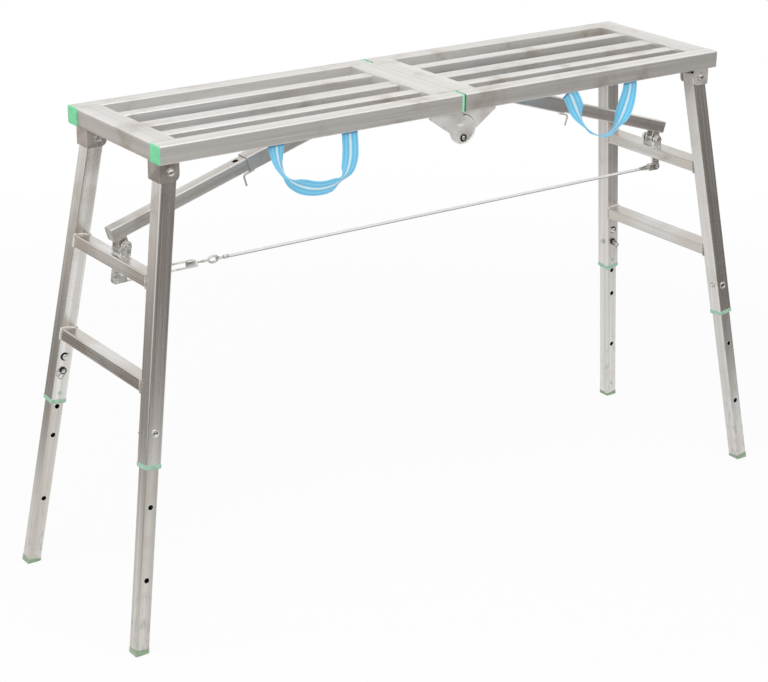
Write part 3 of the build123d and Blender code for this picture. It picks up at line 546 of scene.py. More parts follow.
def moulded_plastic(name, light, dark, roughness, painted_shade=None):
    """A plastic with a fine moulded grain and a slow change of tone.

    Painted shade darkens it below a height, fading between two heights of the piece's own band attribute."""
    finish, tree, shader, place = new_finish(name, 0.0)
    grains = use_effect(tree, speckle, Vector=place, Grain=MOULD_GRAIN)
    colour = mix_colours(tree, stretch(tree, grains["Broad"], *CLOUD_SPAN), dark, light)
    # Painted shade: the rope's underside is darkened.
    if painted_shade:
        band = add_node(tree, "ShaderNodeAttribute", attribute_name="band").outputs["Vector"]
        colour = mix_colours(tree, stretch(tree, split(tree, band)["Z"], *painted_shade, 1.0, 0.0), colour, PAINTED_SHADE_GREY)
    rough = stretch(tree, grains["Fine"], *CLOUD_SPAN, *roughness)
    coat(tree, shader, colour, rough, grains["Fine"], *MOULD_RELIEF)
    return finish


plastics = {name: moulded_plastic(name, *look) for name, look in PLASTICS.items()}
print("plastics:", list(plastics))

# %% [markdown]
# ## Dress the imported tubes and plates
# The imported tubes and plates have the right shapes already, so they only get their finishes.

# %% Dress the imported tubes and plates


def dress(node, finish):
    """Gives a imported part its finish."""
    slots = nodes[node].data.materials
    slots.clear()
    slots.append(finish)


for side, row in LEGS:
    dress(f"{side}_{row}_rail", steel_along_x)
    dress(f"{side}_{row}_leg", steel_leg[side, row])
    dress(f"{side}_{row}_inner_leg", steel_inner[side, row])
for side in SIDES:
    finishes = {"slats": steel_slat, "outer_cross": steel_end, "inner_cross": steel_across,
                "upper_rung": steel_rung[side], "lower_rung": steel_rung[side],
                "brace_tube": steel_brace[side], "brace_sleeve": steel_brace[side],
                "brace_clevis": metals["galvanised"], "tie_lug": metals["galvanised"],
                "brace_seat": metals["plate_steel"], "hinge_plates": metals[f"hinge_{side}"],
                "leg_brackets": metals[f"bracket_{side}"]}
    for node, finish in finishes.items():
        dress(f"{side}_{node}", finish)
print("dressed:", sum(len(part.data.materials) == 1 for part in nodes.values()))

# %% [markdown]
# ## Surfaces from formulas
# Every new piece is a grid of points from a formula in two parameters: round a turned shape, round a wire,
# or round a rounded rectangle. A grid closes on itself across its columns. Its end rows shrink to a point
# or meet each other, so each shape is watertight once equal points are merged.

# %% Surfaces from formulas


def unit(vector):
    """The same direction with length 1."""
    vector = np.asarray(vector, float)
    return vector / np.linalg.norm(vector, axis=-1, keepdims=True)


def side_axes(axis):
    """Two directions square to an axis and to each other, from cross products."""
    axis = unit(axis)
    helper = np.eye(3)[np.argmin(np.abs(axis))]
    first = unit(np.cross(axis, helper))
    return first, np.cross(axis, first)


def full_turn(steps):
    """Angles once round, without the last, which is the first again."""
    return np.linspace(0, 2 * np.pi, steps, endpoint=False)


def shut(rows):
    """Closes both ends of a grid: a row at the middle of the first and of the last row."""
    ends = [np.broadcast_to(rows[i].mean(axis=0), rows[i].shape)[None] for i in (0, -1)]
    return np.concatenate([ends[0], rows, ends[1]])


def looped(rows):
    """Closes a grid into a ring: the first row comes again at the end."""
    return np.concatenate([rows, rows[:1]])


def revolve(radius, height, centre, axis):
    """Round an axis: centre + height * axis + radius * (cos t * first + sin t * second).

    The radius is a grid with a row for each height and a column for each step round."""
    t = full_turn(radius.shape[1])[:, None]
    first, second = side_axes(axis)
    ring = np.cos(t) * first + np.sin(t) * second
    return np.asarray(centre) + height[:, None, None] * unit(axis) + radius[:, :, None] * ring


def lathe(profile, centre, axis, sides=32):
    """Turned shape, with a profile of radius and height that is the same all round."""
    radius, height = np.array(profile, float).T
    return revolve(np.tile(radius[:, None], sides), height, centre, axis)


def wire(path, radius, sides=10, flat_way=(0, 1, 0)):
    """Round wire: path + radius * (cos t * normal + sin t * binormal), normal = tangent x flat_way."""
    path = np.asarray(path, float)
    tangent = unit(np.gradient(path, axis=0))
    normal = unit(np.cross(tangent, flat_way))[:, None, :]
    binormal = np.cross(tangent, normal[:, 0])[:, None, :]
    t = full_turn(sides)[None, :, None]
    return path[:, None, :] + radius * (np.cos(t) * normal + np.sin(t) * binormal)


def rounded_rectangle(half_u, half_v, corner, steps=5):
    """Outline of (u, v): a quarter circle about the centre of each of the four corners."""
    quarter = np.arange(4)[:, None] * np.pi / 2
    angle = quarter + np.linspace(0, np.pi / 2, steps)[None, :]
    middle = quarter + np.pi / 4
    u = np.sign(np.cos(middle)) * (half_u - corner) + corner * np.cos(angle)
    v = np.sign(np.sin(middle)) * (half_v - corner) + corner * np.sin(angle)
    return np.stack([u.ravel(), v.ravel()], axis=1)


def stack(sections, centre, u_way, v_way, along):
    """Rounded rectangles (half u, half v, corner, height) set one over the other along an axis."""
    outlines = np.stack([rounded_rectangle(*section[:3]) for section in sections])
    height = np.array([section[3] for section in sections])[:, None, None]
    spread = outlines[..., :1] * np.asarray(u_way) + outlines[..., 1:] * np.asarray(v_way)
    return np.asarray(centre) + spread + height * np.asarray(along)


def square_stack(steps, *place):
    """The same with square sections, given as half width, corner and height."""
    return stack([(half, half, corner, height) for half, corner, height in steps], *place)


def running_length(line):
    """Length along a line of points, from 0 at the first: the running sum of its steps."""
    return np.concatenate([[0], np.cumsum(np.linalg.norm(np.diff(line, axis=0), axis=1))])


print("a square of four corner arcs has", len(rounded_rectangle(1.0, 1.0, 0.2)), "points")

# %% [markdown]
# ## From a grid to a piece
# One function puts the grids into a mesh as whole arrays. It merges equal points, turns the faces outwards,
# smooths all but the sharp edges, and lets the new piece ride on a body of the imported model. Points may
# also carry a place of their own, for patterns that have to follow a piece that bends.

# %% From a grid to a piece
MERGE = 2e-6
CREASE = np.radians(38.0)


def close_up(mesh):
    """Merges equal points, drops faces without area and turns all faces outwards."""
    work = bmesh.new()
    work.from_mesh(mesh)
    bmesh.ops.remove_doubles(work, verts=work.verts, dist=MERGE)
    bmesh.ops.dissolve_degenerate(work, edges=work.edges, dist=MERGE)
    bmesh.ops.recalc_face_normals(work, faces=work.faces)
    work.to_mesh(mesh)
    work.free()


def make_piece(name, surfaces, finish, body, band=None):
    """Puts grids of points into one mesh, closes and smooths it, and lets it ride on a body."""
    corners = np.concatenate([surface.reshape(-1, 3) for surface in surfaces])
    starts = np.cumsum([0] + [surface.shape[0] * surface.shape[1] for surface in surfaces])
    quads = np.concatenate([grid_quads(*surface.shape[:2]) + start
                            for surface, start in zip(surfaces, starts)])
    mesh = bpy.data.meshes.new(name)
    mesh.vertices.add(len(corners))
    mesh.vertices.foreach_set("co", corners.astype(np.float32).ravel())
    mesh.loops.add(quads.size)
    mesh.loops.foreach_set("vertex_index", quads.astype(np.int32).ravel())
    mesh.polygons.add(len(quads))
    mesh.polygons.foreach_set("loop_start", np.arange(0, quads.size, 4, dtype=np.int32))
    if band is not None:
        layer = mesh.attributes.new("band", "FLOAT_VECTOR", "POINT")
        layer.data.foreach_set("vector", band.astype(np.float32).ravel())
    mesh.update(calc_edges=True)
    close_up(mesh)
    mesh.polygons.foreach_set("use_smooth", np.ones(len(mesh.polygons), dtype=bool))
    mesh.set_sharp_from_angle(angle=CREASE)
    mesh.materials.append(finish)
    piece = bpy.data.objects.new(name, mesh)
    bpy.context.scene.collection.objects.link(piece)
    if body:
        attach(piece, body)
    print(name, "faces:", len(mesh.polygons))
    return piece


# %% [markdown]
# ## Wire rope of the tie
# A coated wire rope keeps the leg frames from spreading. The pale coat follows six strands laid round a
# core, so each strand is a round wire along a helix, sunk deep into its neighbours. The helix depends on
# the place along the deck alone, so the strands of all stretches meet in step. The middle stretch runs
# straight between the deck halves and rides on neither, and the outer ones hang from the fittings.

# %% Wire rope of the tie
ROPE_RADIUS = 0.0040
STRANDS = 6
STRAND_RADIUS = 0.0026
STRAND_SIDES = 8
CORE_RADIUS = STRAND_RADIUS * 1.2
CORE_SIDES = 6
LAY = 0.03
LAY_STEP = 0.0025
FERRULE_PLACE = 0.014


def joint_place(name):
    """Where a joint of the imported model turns."""
    return np.array(joints[name]["pos_m"])


tie_height = joint_place("tie_left_turn")[2]


def rope_strands(start, end):
    """A straight core, and strand k: (x, R cos p, height + R sin p), p = 2 pi (x / lay + k / strands)."""
    x = np.linspace(start, end, int((end - start) / LAY_STEP) + 2)
    ring = ROPE_RADIUS - STRAND_RADIUS
    surfaces = [shut(wire(np.stack([x, 0 * x, 0 * x + tie_height], 1), CORE_RADIUS, CORE_SIDES))]
    for strand in range(STRANDS):
        phase = 2 * np.pi * (x / LAY + strand / STRANDS)
        path = np.stack([x, ring * np.cos(phase), tie_height + ring * np.sin(phase)], 1)
        surfaces.append(shut(wire(path, STRAND_RADIUS, STRAND_SIDES)))
    return surfaces


def rope_stretch(name, start, end, body):
    """A stretch of rope. Each point keeps its place about the middle line, so painted shade stays below."""
    strands = rope_strands(start, end)
    about_middle = np.concatenate([strand.reshape(-1, 3) for strand in strands]) - [0.0, 0.0, tie_height]
    return make_piece(name, strands, plastics["rope_coat"], body, about_middle)


middle_low, middle_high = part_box("tie_rope_middle")
rope_middle = rope_stretch("rope_strands_middle", middle_low.x, middle_high.x, None)
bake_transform(rope_middle)
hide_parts("tie_rope_middle")
for side in SIDES:
    low, high = (corner.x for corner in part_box(f"tie_rope_{side}"))
    start = low + FERRULE_PLACE if side == "left" else low
    link = rope_stretch(f"rope_strands_{side}", start, high, f"tie_link_{side}")
    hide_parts(f"tie_rope_{side}")

# %% [markdown]
# ## Forks of the tie
# Both ends of the tie hold on to a lug with a fork: two round-ended cheeks, a bridge between them and a
# pin with domed ends. Both forks are the same, turned round, so one function makes them for a given way
# along the deck.

# %% Forks of the tie
ALONG = np.array([1.0, 0.0, 0.0])
BACK = np.array([0.0, 1.0, 0.0])
LIFT = np.array([0.0, 0.0, 1.0])
FORK_ROUND = 0.008
FORK_LENGTH = 0.026
FORK_PLATE = 0.003
FORK_INSIDE = 0.0034
FORK_ARC_STEPS = 17
BEVEL = 0.0006
BRIDGE_FIT = 0.0005
# Half depth, half height and corner of the bridge, what its ends draw in, and where it starts and ends.
BRIDGE_SECTION = (FORK_INSIDE + BRIDGE_FIT, FORK_ROUND - BRIDGE_FIT, 0.0016)
BRIDGE_DRAW = (0.0, BEVEL, BEVEL, BEVEL)
BRIDGE_SPAN = (FORK_LENGTH - 0.0145, FORK_LENGTH + 0.0004)
# Radius of the pin and height past the cheek, from the dome to the shank.
PIN_DOME = [(0, 0.0022), (0.003, 0.0019), (0.0048, 0.0005), (0.0048, 0.0), (0.0039, 0.0)]


def flat_plate(outline, thickness, centre, u_way, v_way, along):
    """Plate with a bevelled rim: the outline, drawn in by the bevel at both faces, over its thickness."""
    outline = np.asarray(outline, float)
    middle = outline.mean(axis=0)
    reach = np.abs(outline - middle).max()
    drawn_in = middle + (outline - middle) * (1 - BEVEL / reach)
    rings = np.stack([drawn_in, outline, outline, drawn_in])
    height = np.array([0.0, BEVEL, thickness - BEVEL, thickness])[:, None, None]
    return shut(centre + rings[..., :1] * u_way + rings[..., 1:] * v_way + height * along)


def bevelled_block(section, draw, start, end, *place):
    """Block whose section (half u, half v, corner) is drawn in over a short length at both ends."""
    *narrower, length = draw
    slim = np.subtract(section, narrower)
    sections = [(*slim, start), (*section, start + length), (*section, end - length), (*slim, end)]
    return shut(stack(sections, *place))


def tie_fork(lug, way):
    """Two cheeks of a half circle and two corners, a bevelled bridge and a turned pin."""
    along = ALONG * way
    arc = np.linspace(np.pi / 2, 3 * np.pi / 2, FORK_ARC_STEPS)
    outline = np.concatenate([np.stack([np.cos(arc), np.sin(arc)], 1) * FORK_ROUND,
                              [[FORK_LENGTH, -FORK_ROUND], [FORK_LENGTH, FORK_ROUND]]])
    cheeks = [flat_plate(outline, FORK_PLATE, lug + BACK * y, along, LIFT, BACK)
              for y in (FORK_INSIDE, -FORK_INSIDE - FORK_PLATE)]
    bridge = bevelled_block(BRIDGE_SECTION, BRIDGE_DRAW, *BRIDGE_SPAN, lug, BACK, LIFT, along)
    wide = FORK_INSIDE + FORK_PLATE
    pin = lathe([(radius, -wide - past) for radius, past in PIN_DOME]
                + [(radius, wide + past) for radius, past in reversed(PIN_DOME)], lug, BACK)
    return cheeks + [bridge, pin]


left_lug = joint_place("tie_left_turn")
right_lug = joint_place("tie_right_turn")
print("lugs:", np.round(left_lug, 4), np.round(right_lug, 4))

# %% [markdown]
# ## Turnbuckle
# At the left the rope ends in a turnbuckle, which sets its length: two rods from the fork, a nut block
# with a lock nut, a threaded rod, a plain shank and an oval eye.

# %% Turnbuckle
ROD_RADIUS = 0.0025
ROD_START = 0.02
ROD_SPREAD = 0.015
ROD_SIDES = 16
NUT_START = 0.176
NUT_END = NUT_START + 0.020
# Half depth, half height and corner of the nut block, and what its ends draw in.
NUT_SECTION = (0.0056, 0.0078, 0.0025)
NUT_DRAW = (0.0004, 0.0007, 0.0005, 0.0008)
NUT_RAISED = 0.001
# How far the upper and the lower rod go past the nut block.
ROD_PAST = {1: -0.004, -1: 0.008}
LOCK_NUT = (0.0095, 0.005)
# What a cone leaves of a hexagon, as a share of half its width, at each share of its height.
HEXAGON_CUT = [(0.0, 0.0), (0.97, 0.0), (1.2, 0.14), (1.2, 0.86), (0.97, 1.0), (0.0, 1.0)]
THREAD_PITCH = 0.0014
THREAD_DEPTH = 0.45
THREAD_STEPS = 6
SCREW_END = NUT_END + 0.018
EYE_PLACE = 0.243
EYE_REACH = 0.0125
EYE_HALF = 0.0072
EYE_WIRE = 0.003
EYE_START = EYE_PLACE - EYE_REACH
SHANK_RADIUS = 0.0034
# Radius, and place along the tie.
SHANK = [(0, SCREW_END - 0.002), (SHANK_RADIUS, SCREW_END), (SHANK_RADIUS, EYE_START - 0.003),
         (SHANK_RADIUS * 0.8, EYE_START + 0.001), (0, EYE_START + 0.001)]
SHANK_SIDES = 20


def round_bar(radius, start, end, centre, axis, sides=32):
    """Plain round bar between two heights along an axis."""
    return lathe([(0, start), (radius, start), (radius, end), (0, end)], centre, axis, sides)


def hexagon(across, height, centre, axis, steps=48):
    """Hexagonal head: half the width over cos(angle from the flat), cut by a cone at both ends."""
    flat = 1 / np.cos((full_turn(steps) + np.pi / 6) % (np.pi / 3) - np.pi / 6)
    cone, rise = np.array(HEXAGON_CUT).T
    return revolve(np.minimum(flat, cone[:, None]) * across / 2, rise * height, centre, axis)


def threaded_rod(start, end, radius, centre, axis, sides=24):
    """Thread: the radius dips by a triangle wave of (length / pitch - turn)."""
    height = np.linspace(start, end, int((end - start) / THREAD_PITCH * THREAD_STEPS) + 2)
    turns = height[:, None] / THREAD_PITCH - full_turn(sides) / (2 * np.pi)
    dip = np.abs(2 * (turns % 1.0) - 1)
    return shut(revolve(radius - THREAD_DEPTH * THREAD_PITCH * dip, height, centre, axis))


def oval_eye(centre, reach, half, radius, steps=48, sides=14):
    """Round wire on an ellipse: (reach cos t, half sin t) + radius * (cos s * normal + sin s * back)."""
    t = full_turn(steps)[:, None]
    line = centre + np.cos(t) * ALONG * reach + np.sin(t) * LIFT * half
    normal = unit(np.cos(t) * ALONG * half + np.sin(t) * LIFT * reach)
    s = full_turn(sides)[None, :, None]
    return looped(line[:, None, :] + radius * (np.cos(s) * normal[:, None, :] + np.sin(s) * BACK))


rods = [round_bar(ROD_RADIUS, ROD_START, NUT_END + past, left_lug + LIFT * way * ROD_SPREAD / 2, ALONG,
                  ROD_SIDES)
        for way, past in ROD_PAST.items()]
nut_block = bevelled_block(NUT_SECTION, NUT_DRAW, NUT_START, NUT_END, left_lug + LIFT * NUT_RAISED,
                           BACK, LIFT, ALONG)
lock_nut = hexagon(*LOCK_NUT, left_lug + ALONG * NUT_END, ALONG)
screw = threaded_rod(NUT_END, SCREW_END, ROD_RADIUS, left_lug, ALONG)
shank = lathe(SHANK, left_lug, ALONG, SHANK_SIDES)
eye = oval_eye(left_lug + ALONG * EYE_PLACE, EYE_REACH, EYE_HALF, EYE_WIRE)
fittings = tie_fork(left_lug, 1) + rods + [nut_block, lock_nut, screw, shank, eye]
turnbuckle = make_piece("turnbuckle", fittings, metals["bright_zinc"], "tie_end_left")
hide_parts("tie_turnbuckle")

# %% [markdown]
# ## Socket at the right end
# At the right the rope goes into a swaged cone, which sits on the second fork. The cone is turned: a
# collar, a groove and a long taper with a small step.

# %% Socket at the right end
CONE_LENGTH = 0.034
# Radius, and distance from the fork.
CONE = [(0, 0), (0.007, 0), (0.007, 0.006), (0.0062, 0.0068), (0.0064, 0.008),
        (0.0045, CONE_LENGTH * 0.75), (0.0047, CONE_LENGTH * 0.78),
        (0.0035, CONE_LENGTH), (0, CONE_LENGTH)]
ROPE_INTO_CONE = 0.002

cone_start = right_lug[0] - FORK_LENGTH
cone = lathe(CONE, (cone_start, 0, tie_height), -ALONG)
rope_end = cone_start - CONE_LENGTH + ROPE_INTO_CONE
rope_stretch("rope_strands_end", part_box("tie_terminal")[0].x, rope_end, "tie_end_right")
terminal = make_piece("tie_socket", tie_fork(right_lug, -1) + [cone], metals["bright_zinc"],
                      "tie_end_right")
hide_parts("tie_terminal")

# %% [markdown]
# ## Rope eye and ferrule
# The rope goes through the turnbuckle's eye, back beside itself, and a pressed ferrule holds the two. The
# little loop hangs on the eye, so it rides with the rope.

# %% Rope eye and ferrule
# Radius, and length along the rope.
FERRULE = [(0, 0.0), (0.0042, 0.0004), (0.0048, 0.002), (0.0048, 0.012), (0.0042, 0.0136), (0, 0.014)]
FERRULE_LAP = 0.001
FERRULE_SIDES = 24
LOOP_REACH = 0.021
LOOP_ROUND = 1.4
LOOP_BACK = 0.0062
LOOP_HALF = 0.0075
LOOP_NARROW = 0.2
LOOP_WIRE = 0.0016
LOOP_SIDES = 8
LOOP_STEPS = 41


def eye_loop(hook):
    """Wire along x = reach |s|^round - back, y = half sin(pi s) (1 - narrow |s|), for s from -1 to 1."""
    s = np.linspace(-1, 1, LOOP_STEPS)
    x = LOOP_REACH * np.abs(s) ** LOOP_ROUND - LOOP_BACK
    y = LOOP_HALF * np.sin(np.pi * s) * (1 - LOOP_NARROW * np.abs(s))
    return shut(wire(hook + np.stack([x, y, 0 * s], 1), LOOP_WIRE, LOOP_SIDES, LIFT))


hook = joint_place("tie_left_link_turn")
ferrule = lathe(FERRULE, hook + ALONG * (FERRULE_PLACE - FERRULE_LAP), ALONG, FERRULE_SIDES)
make_piece("rope_eye", [eye_loop(hook), ferrule], metals["bright_zinc"], "tie_link_left")

# %% [markdown]
# ## Sky-blue webbing
# Webbing is woven flat, with ribs across it and cords along it, a pale stripe in the middle, firm edges
# and dark ends, which are partly sewn hems and partly painted shade where the strap goes under the rail.
# Each point of a strap carries its place along and across the band and its distance from the nearer end,
# so the pattern is worked out from those three and follows the cloth as it turns.

# %% Sky-blue webbing
SKY = (0.26, 0.77, 1.0, 1.0)
SKY_DEEP = (0.15, 0.56, 0.94, 1.0)
SKY_PALE = (0.86, 0.97, 1.0, 1.0)
NAVY = (0.05, 0.22, 0.45, 1.0)
RIB_PITCH = 0.0022
YARN_PITCH = 0.0016
CORD_PITCH = 0.0082
WEAVE_SHARE = 0.5
RIBBED_SPAN = (-1.5, 1.2)
STRIPE = (0.0014, 0.0030)
EDGE = (0.0168, 0.0182)
EDGE_SHARE = 0.45
# Dark ends near the rail: partly the sewn hem, partly painted shade under the rail.
HEM_AND_SHADE = (0.004, 0.008)
HEM_AND_SHADE_SHARE = 0.75
CLOTH_ROUGHNESS = (0.85, 0.6)
CLOTH_SHEEN = 0.25
CLOTH_RELIEF = (0.5, 0.0004)


def wave(tree, value, pitch):
    """The sine of a length, once round for each pitch."""
    return calculate(tree, "SINE", calculate(tree, "MULTIPLY", value, 2 * np.pi / pitch))


webbing, tree, shader, _ = new_finish("webbing", 0.0)
band = split(tree, add_node(tree, "ShaderNodeAttribute", attribute_name="band").outputs["Vector"])
weave = calculate(tree, "MULTIPLY", wave(tree, band["X"], RIB_PITCH), wave(tree, band["Y"], YARN_PITCH))
from_middle = calculate(tree, "ABSOLUTE", band["Y"])
cords = wave(tree, from_middle, CORD_PITCH)
ribbed = calculate(tree, "ADD", calculate(tree, "MULTIPLY", weave, WEAVE_SHARE), cords)
cloth = mix_colours(tree, stretch(tree, ribbed, *RIBBED_SPAN), SKY_DEEP, SKY)
cloth = mix_colours(tree, stretch(tree, from_middle, *STRIPE, 1.0, 0.0), cloth, SKY_PALE)
cloth = mix_colours(tree, stretch(tree, from_middle, *EDGE, 0.0, EDGE_SHARE), cloth, SKY_DEEP)
# Darker ends: partly the sewn hems, partly painted shade under the rail.
cloth = mix_colours(tree, stretch(tree, band["Z"], *HEM_AND_SHADE, HEM_AND_SHADE_SHARE, 0.0), cloth, NAVY)
shader.inputs["Sheen Weight"].default_value = CLOTH_SHEEN
coat(tree, shader, cloth, stretch(tree, weave, -1.0, 1.0, *CLOTH_ROUGHNESS), weave, *CLOTH_RELIEF)
print("webbing nodes:", len(tree.nodes))

# %% [markdown]
# ## Carrying straps
# Two carrying straps hang in loops under the front rails, and they turn over as they hang. A strap is a
# flat, rounded section carried along a Bezier curve while it rolls about its own line. Its sewn ends stay
# with the rail, and it bends below them where the loop swings.

# %% Carrying straps
STRAP_WIDTH = 0.038
STRAP_THICKNESS = 0.0022
STRAP_CORNER = STRAP_THICKNESS * 0.45
STRAP_DEPTH = -0.188
STRAP_STEPS = 193
SEWN_GAP = 0.0005
CORNER_STEPS = 4
ACROSS_STEPS = 9
EASE_STEPS = 11
# The curve's control points: place along the deck, and drop below the rail.
STRAP_LINES = {
    "left": [(-0.490, 0.0), (-0.488, 0.050), (-0.483, 0.083), (-0.444, 0.113), (-0.378, 0.139),
             (-0.314, 0.137), (-0.287, 0.101), (-0.301, 0.050), (-0.303, 0.0)],
    "right": [(0.312, 0.0), (0.342, 0.026), (0.343, 0.072), (0.358, 0.119), (0.444, 0.160),
              (0.470, 0.147), (0.476, 0.095), (0.514, 0.035), (0.503, 0.0)],
}
# Share of the curve, and the roll there in degrees.
STRAP_ROLLS = {
    "left": [(0.0, -6), (0.07, 13), (0.12, 30), (0.16, 46), (0.21, 57), (0.27, 100), (0.32, 134),
             (0.39, 160), (0.53, 158), (0.60, 156), (0.66, 132), (0.70, 138), (0.76, 176), (0.85, 192),
             (1.0, 188)],
    "right": [(0.0, -10), (0.11, -34), (0.15, -25), (0.20, 10), (0.25, 42), (0.29, 60), (0.36, 78),
              (0.42, 90), (0.50, 97), (0.58, 108), (0.65, 118), (0.70, 108), (0.75, 78), (0.82, 42),
              (0.92, 15), (1.0, 4)],
}
strap_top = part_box("left_front_rail")[0].z - SEWN_GAP


def bezier(points, t):
    """Bezier curve: the sum of C(n, i) t^i (1 - t)^(n - i) times control point i."""
    degree = len(points) - 1
    i = np.arange(degree + 1)
    weights = np.array([comb(degree, k) for k in i]) * t[:, None] ** i * (1 - t[:, None]) ** (degree - i)
    return weights @ np.asarray(points, float)


def eased(t, keys):
    """Angles in radians on straight runs between keys, averaged over a few steps to round the corners."""
    shares, angles = np.array(keys, float).T
    window = np.hanning(EASE_STEPS)[1:-1]
    runs = np.pad(np.interp(t, shares, np.radians(angles)), len(window) // 2, mode="edge")
    return np.convolve(runs, window / window.sum(), mode="valid")


def strap_section():
    """The flat section: a rounded rectangle with more points on each run between its own."""
    outline = rounded_rectangle(STRAP_WIDTH / 2, STRAP_THICKNESS / 2, STRAP_CORNER, CORNER_STEPS)
    runs = zip(outline, np.roll(outline, -1, 0))
    return np.concatenate([np.linspace(start, end, ACROSS_STEPS, endpoint=False) for start, end in runs])


def strap_band(points, rolls):
    """Band: line + across * wide + through * thick, with wide = flat cos(roll) + back sin(roll)."""
    t = np.linspace(0, 1, STRAP_STEPS)
    x, drop = bezier(points, t).T
    line = np.stack([x, 0 * t + STRAP_DEPTH, strap_top - drop], 1)
    along = unit(np.gradient(line, axis=0))
    flat = np.stack([-along[:, 2], 0 * t, along[:, 0]], 1)
    roll = eased(t, rolls)[:, None]
    wide = flat * np.cos(roll) + BACK * np.sin(roll)
    thick = np.cross(along, wide)
    section = strap_section()[None]
    rows = line[:, None] + section[..., :1] * wide[:, None] + section[..., 1:] * thick[:, None]
    rows[..., 2] = np.minimum(rows[..., 2], strap_top)
    length = running_length(line)
    places = np.zeros(rows.shape)
    places[..., 0] = length[:, None]
    places[..., 1] = section[..., 0]
    places[..., 2] = np.minimum(length, length[-1] - length)[:, None]
    return shut(rows), shut(places), length[-1]


for side in SIDES:
    rows, places, length = strap_band(STRAP_LINES[side], STRAP_ROLLS[side])
    strap = make_piece(f"webbing_{side}", [rows], webbing, None, places.reshape(-1, 3))
    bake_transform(strap)
    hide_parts(f"{side}_strap")
    print("strap length:", round(length, 3))

# %% [markdown]
# ## Plugs in the rail ends
# Each side rail is closed at both ends by a moulded green plug: a short body inside the tube and a flange
# with a softly rounded rim outside. It is a stack of rounded rectangles that grow from the body to the
# flange and draw in again at the rim. At the left of the seam the rim wraps the end of the rail. The seam
# plugs are painted lighter at the left, a painted highlight, and darker at the right, painted shade.

# %% Plugs in the rail ends
CORNER = 0.003
PLUG_BODY = 0.018
PLUG_FIT = 0.0017
PLUG_CORNER = 0.0015
PLUG_LEAD = 0.002
LEAD_DRAW = 0.001
LEAD_CORNER = 0.001
PLUG_FLANGE = 0.003
# What the rim draws in, at each share of the flange's height.
PLUG_RIM = [(0.0, 0.45), (0.0005, 0.75), (0.0016, 0.95), (0.004, 1.0)]
WRAP_FIT = 0.0001
FLUSH = {"flange": 0.0009, "inset": 0.0009}
PROUD = {"inset": -0.0006, "wrap": 0.0035}
END_RIMS = {"left": {}, "right": FLUSH}
SEAM_RIMS = {"left": PROUD, "right": {}}
# Seam plugs: a lighter green at the left as a painted highlight, a dark green at the right as painted
# shade.
SEAM_PAINTED_TONES = {"left": "seam_mint", "right": "seam_green"}


def box_middle(node):
    """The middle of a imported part's box, and its half sizes."""
    low, high = (np.array(corner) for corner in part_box(node))
    return (low + high) / 2, (high - low) / 2


def rail_plug(rail, end, way, flange=PLUG_FLANGE, inset=0.0, wrap=0.0):
    """Plug in one mouth of a rail: rectangles drawn in from the rail's own section.

    A wrap carries the rim back over the outside of the rail."""
    centre, half = box_middle(rail)
    centre[0] = end
    steps = [(PLUG_FIT + LEAD_DRAW, LEAD_CORNER, -PLUG_BODY),
             (PLUG_FIT, PLUG_CORNER, PLUG_LEAD - PLUG_BODY),
             (PLUG_FIT, PLUG_CORNER, 0.0)]
    if wrap:
        steps += [(-WRAP_FIT, CORNER, height) for height in (0.0, -wrap)]
    steps.append((inset, CORNER, -wrap))
    steps += [(inset + draw, CORNER, flange * share) for draw, share in PLUG_RIM]
    sections = [(*(half[1:] - draw), corner, height) for draw, corner, height in steps]
    return shut(stack(sections, centre, BACK, LIFT, ALONG * way))


for side, way in SIDES.items():
    ends, seams = [], []
    for row in ROWS:
        rail = f"{side}_{row}_rail"
        inner, outer = sorted((corner.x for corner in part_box(rail)), key=abs)
        ends.append(rail_plug(rail, outer, way, **END_RIMS[side]))
        seams.append(rail_plug(rail, inner, -way, **SEAM_RIMS[side]))
    piece = make_piece(f"rail_plugs_{side}", ends, plastics["plug_green"], f"deck_{side}")
    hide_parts(f"{side}_plugs")
    make_piece(f"seam_plugs_{side}", seams, plastics[SEAM_PAINTED_TONES[side]], f"deck_{side}")

# %% [markdown]
# ## Leg axes
# The legs lean outwards both ways. Each leg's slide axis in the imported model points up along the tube.
# With the fold axis it gives the way to the middle of the platform and the way out at the front or the
# back, and a function finds the leg's axis at any height.

# %% Leg axes
PIVOT_SIDE = 0.157


def leg_axes(side, row):
    """The leg's way to the foot, its way to the middle and its way out, all square to each other."""
    up = unit(joints[f"{side}_{row}_leg_slide"]["axis"])
    inward = unit(np.cross(BACK, up)) * -SIDES[side]
    outward = np.cross(up, inward)
    return -up, inward, outward * np.sign(outward[1]) * ROWS[row]


def leg_pivot(side, row):
    """Where the leg's bolt crosses its axis."""
    return joint_place(f"leg_{side}_fold") + BACK * PIVOT_SIDE * ROWS[row]


def leg_point(side, row, height):
    """The leg's axis at a height above the floor: the pivot plus the way down, scaled to reach it."""
    pivot = leg_pivot(side, row)
    down = leg_axes(side, row)[0]
    return pivot + down * (height - pivot[2]) / down[2]


for leg in LEGS:
    print(leg, "meets the floor at", np.round(leg_point(*leg, 0.0), 4))

# %% [markdown]
# ## Collars
# The collars line the mouths of the outer legs, and their rounded lips wrap the tube's end. A collar is a
# ring of rounded squares: down inside the tube, up over its outside, down again to the lip and back up
# through the bore.

# %% Collars
LEG_HALF = 0.019
LEG_MOUTH = 0.413
LINER_HALF, LINER_CORNER, LINER_LENGTH = 0.0173, 0.0015, 0.025
BORE_HALF, BORE_CORNER = 0.0163, 0.002
MOUTH_FIT = 0.0004
TUBE_FIT = LEG_HALF + 0.0001
SKIRT_HALF = LEG_HALF + 0.0008
SKIRT_RISE = 0.0045
SKIRT_ROUND = 0.0006
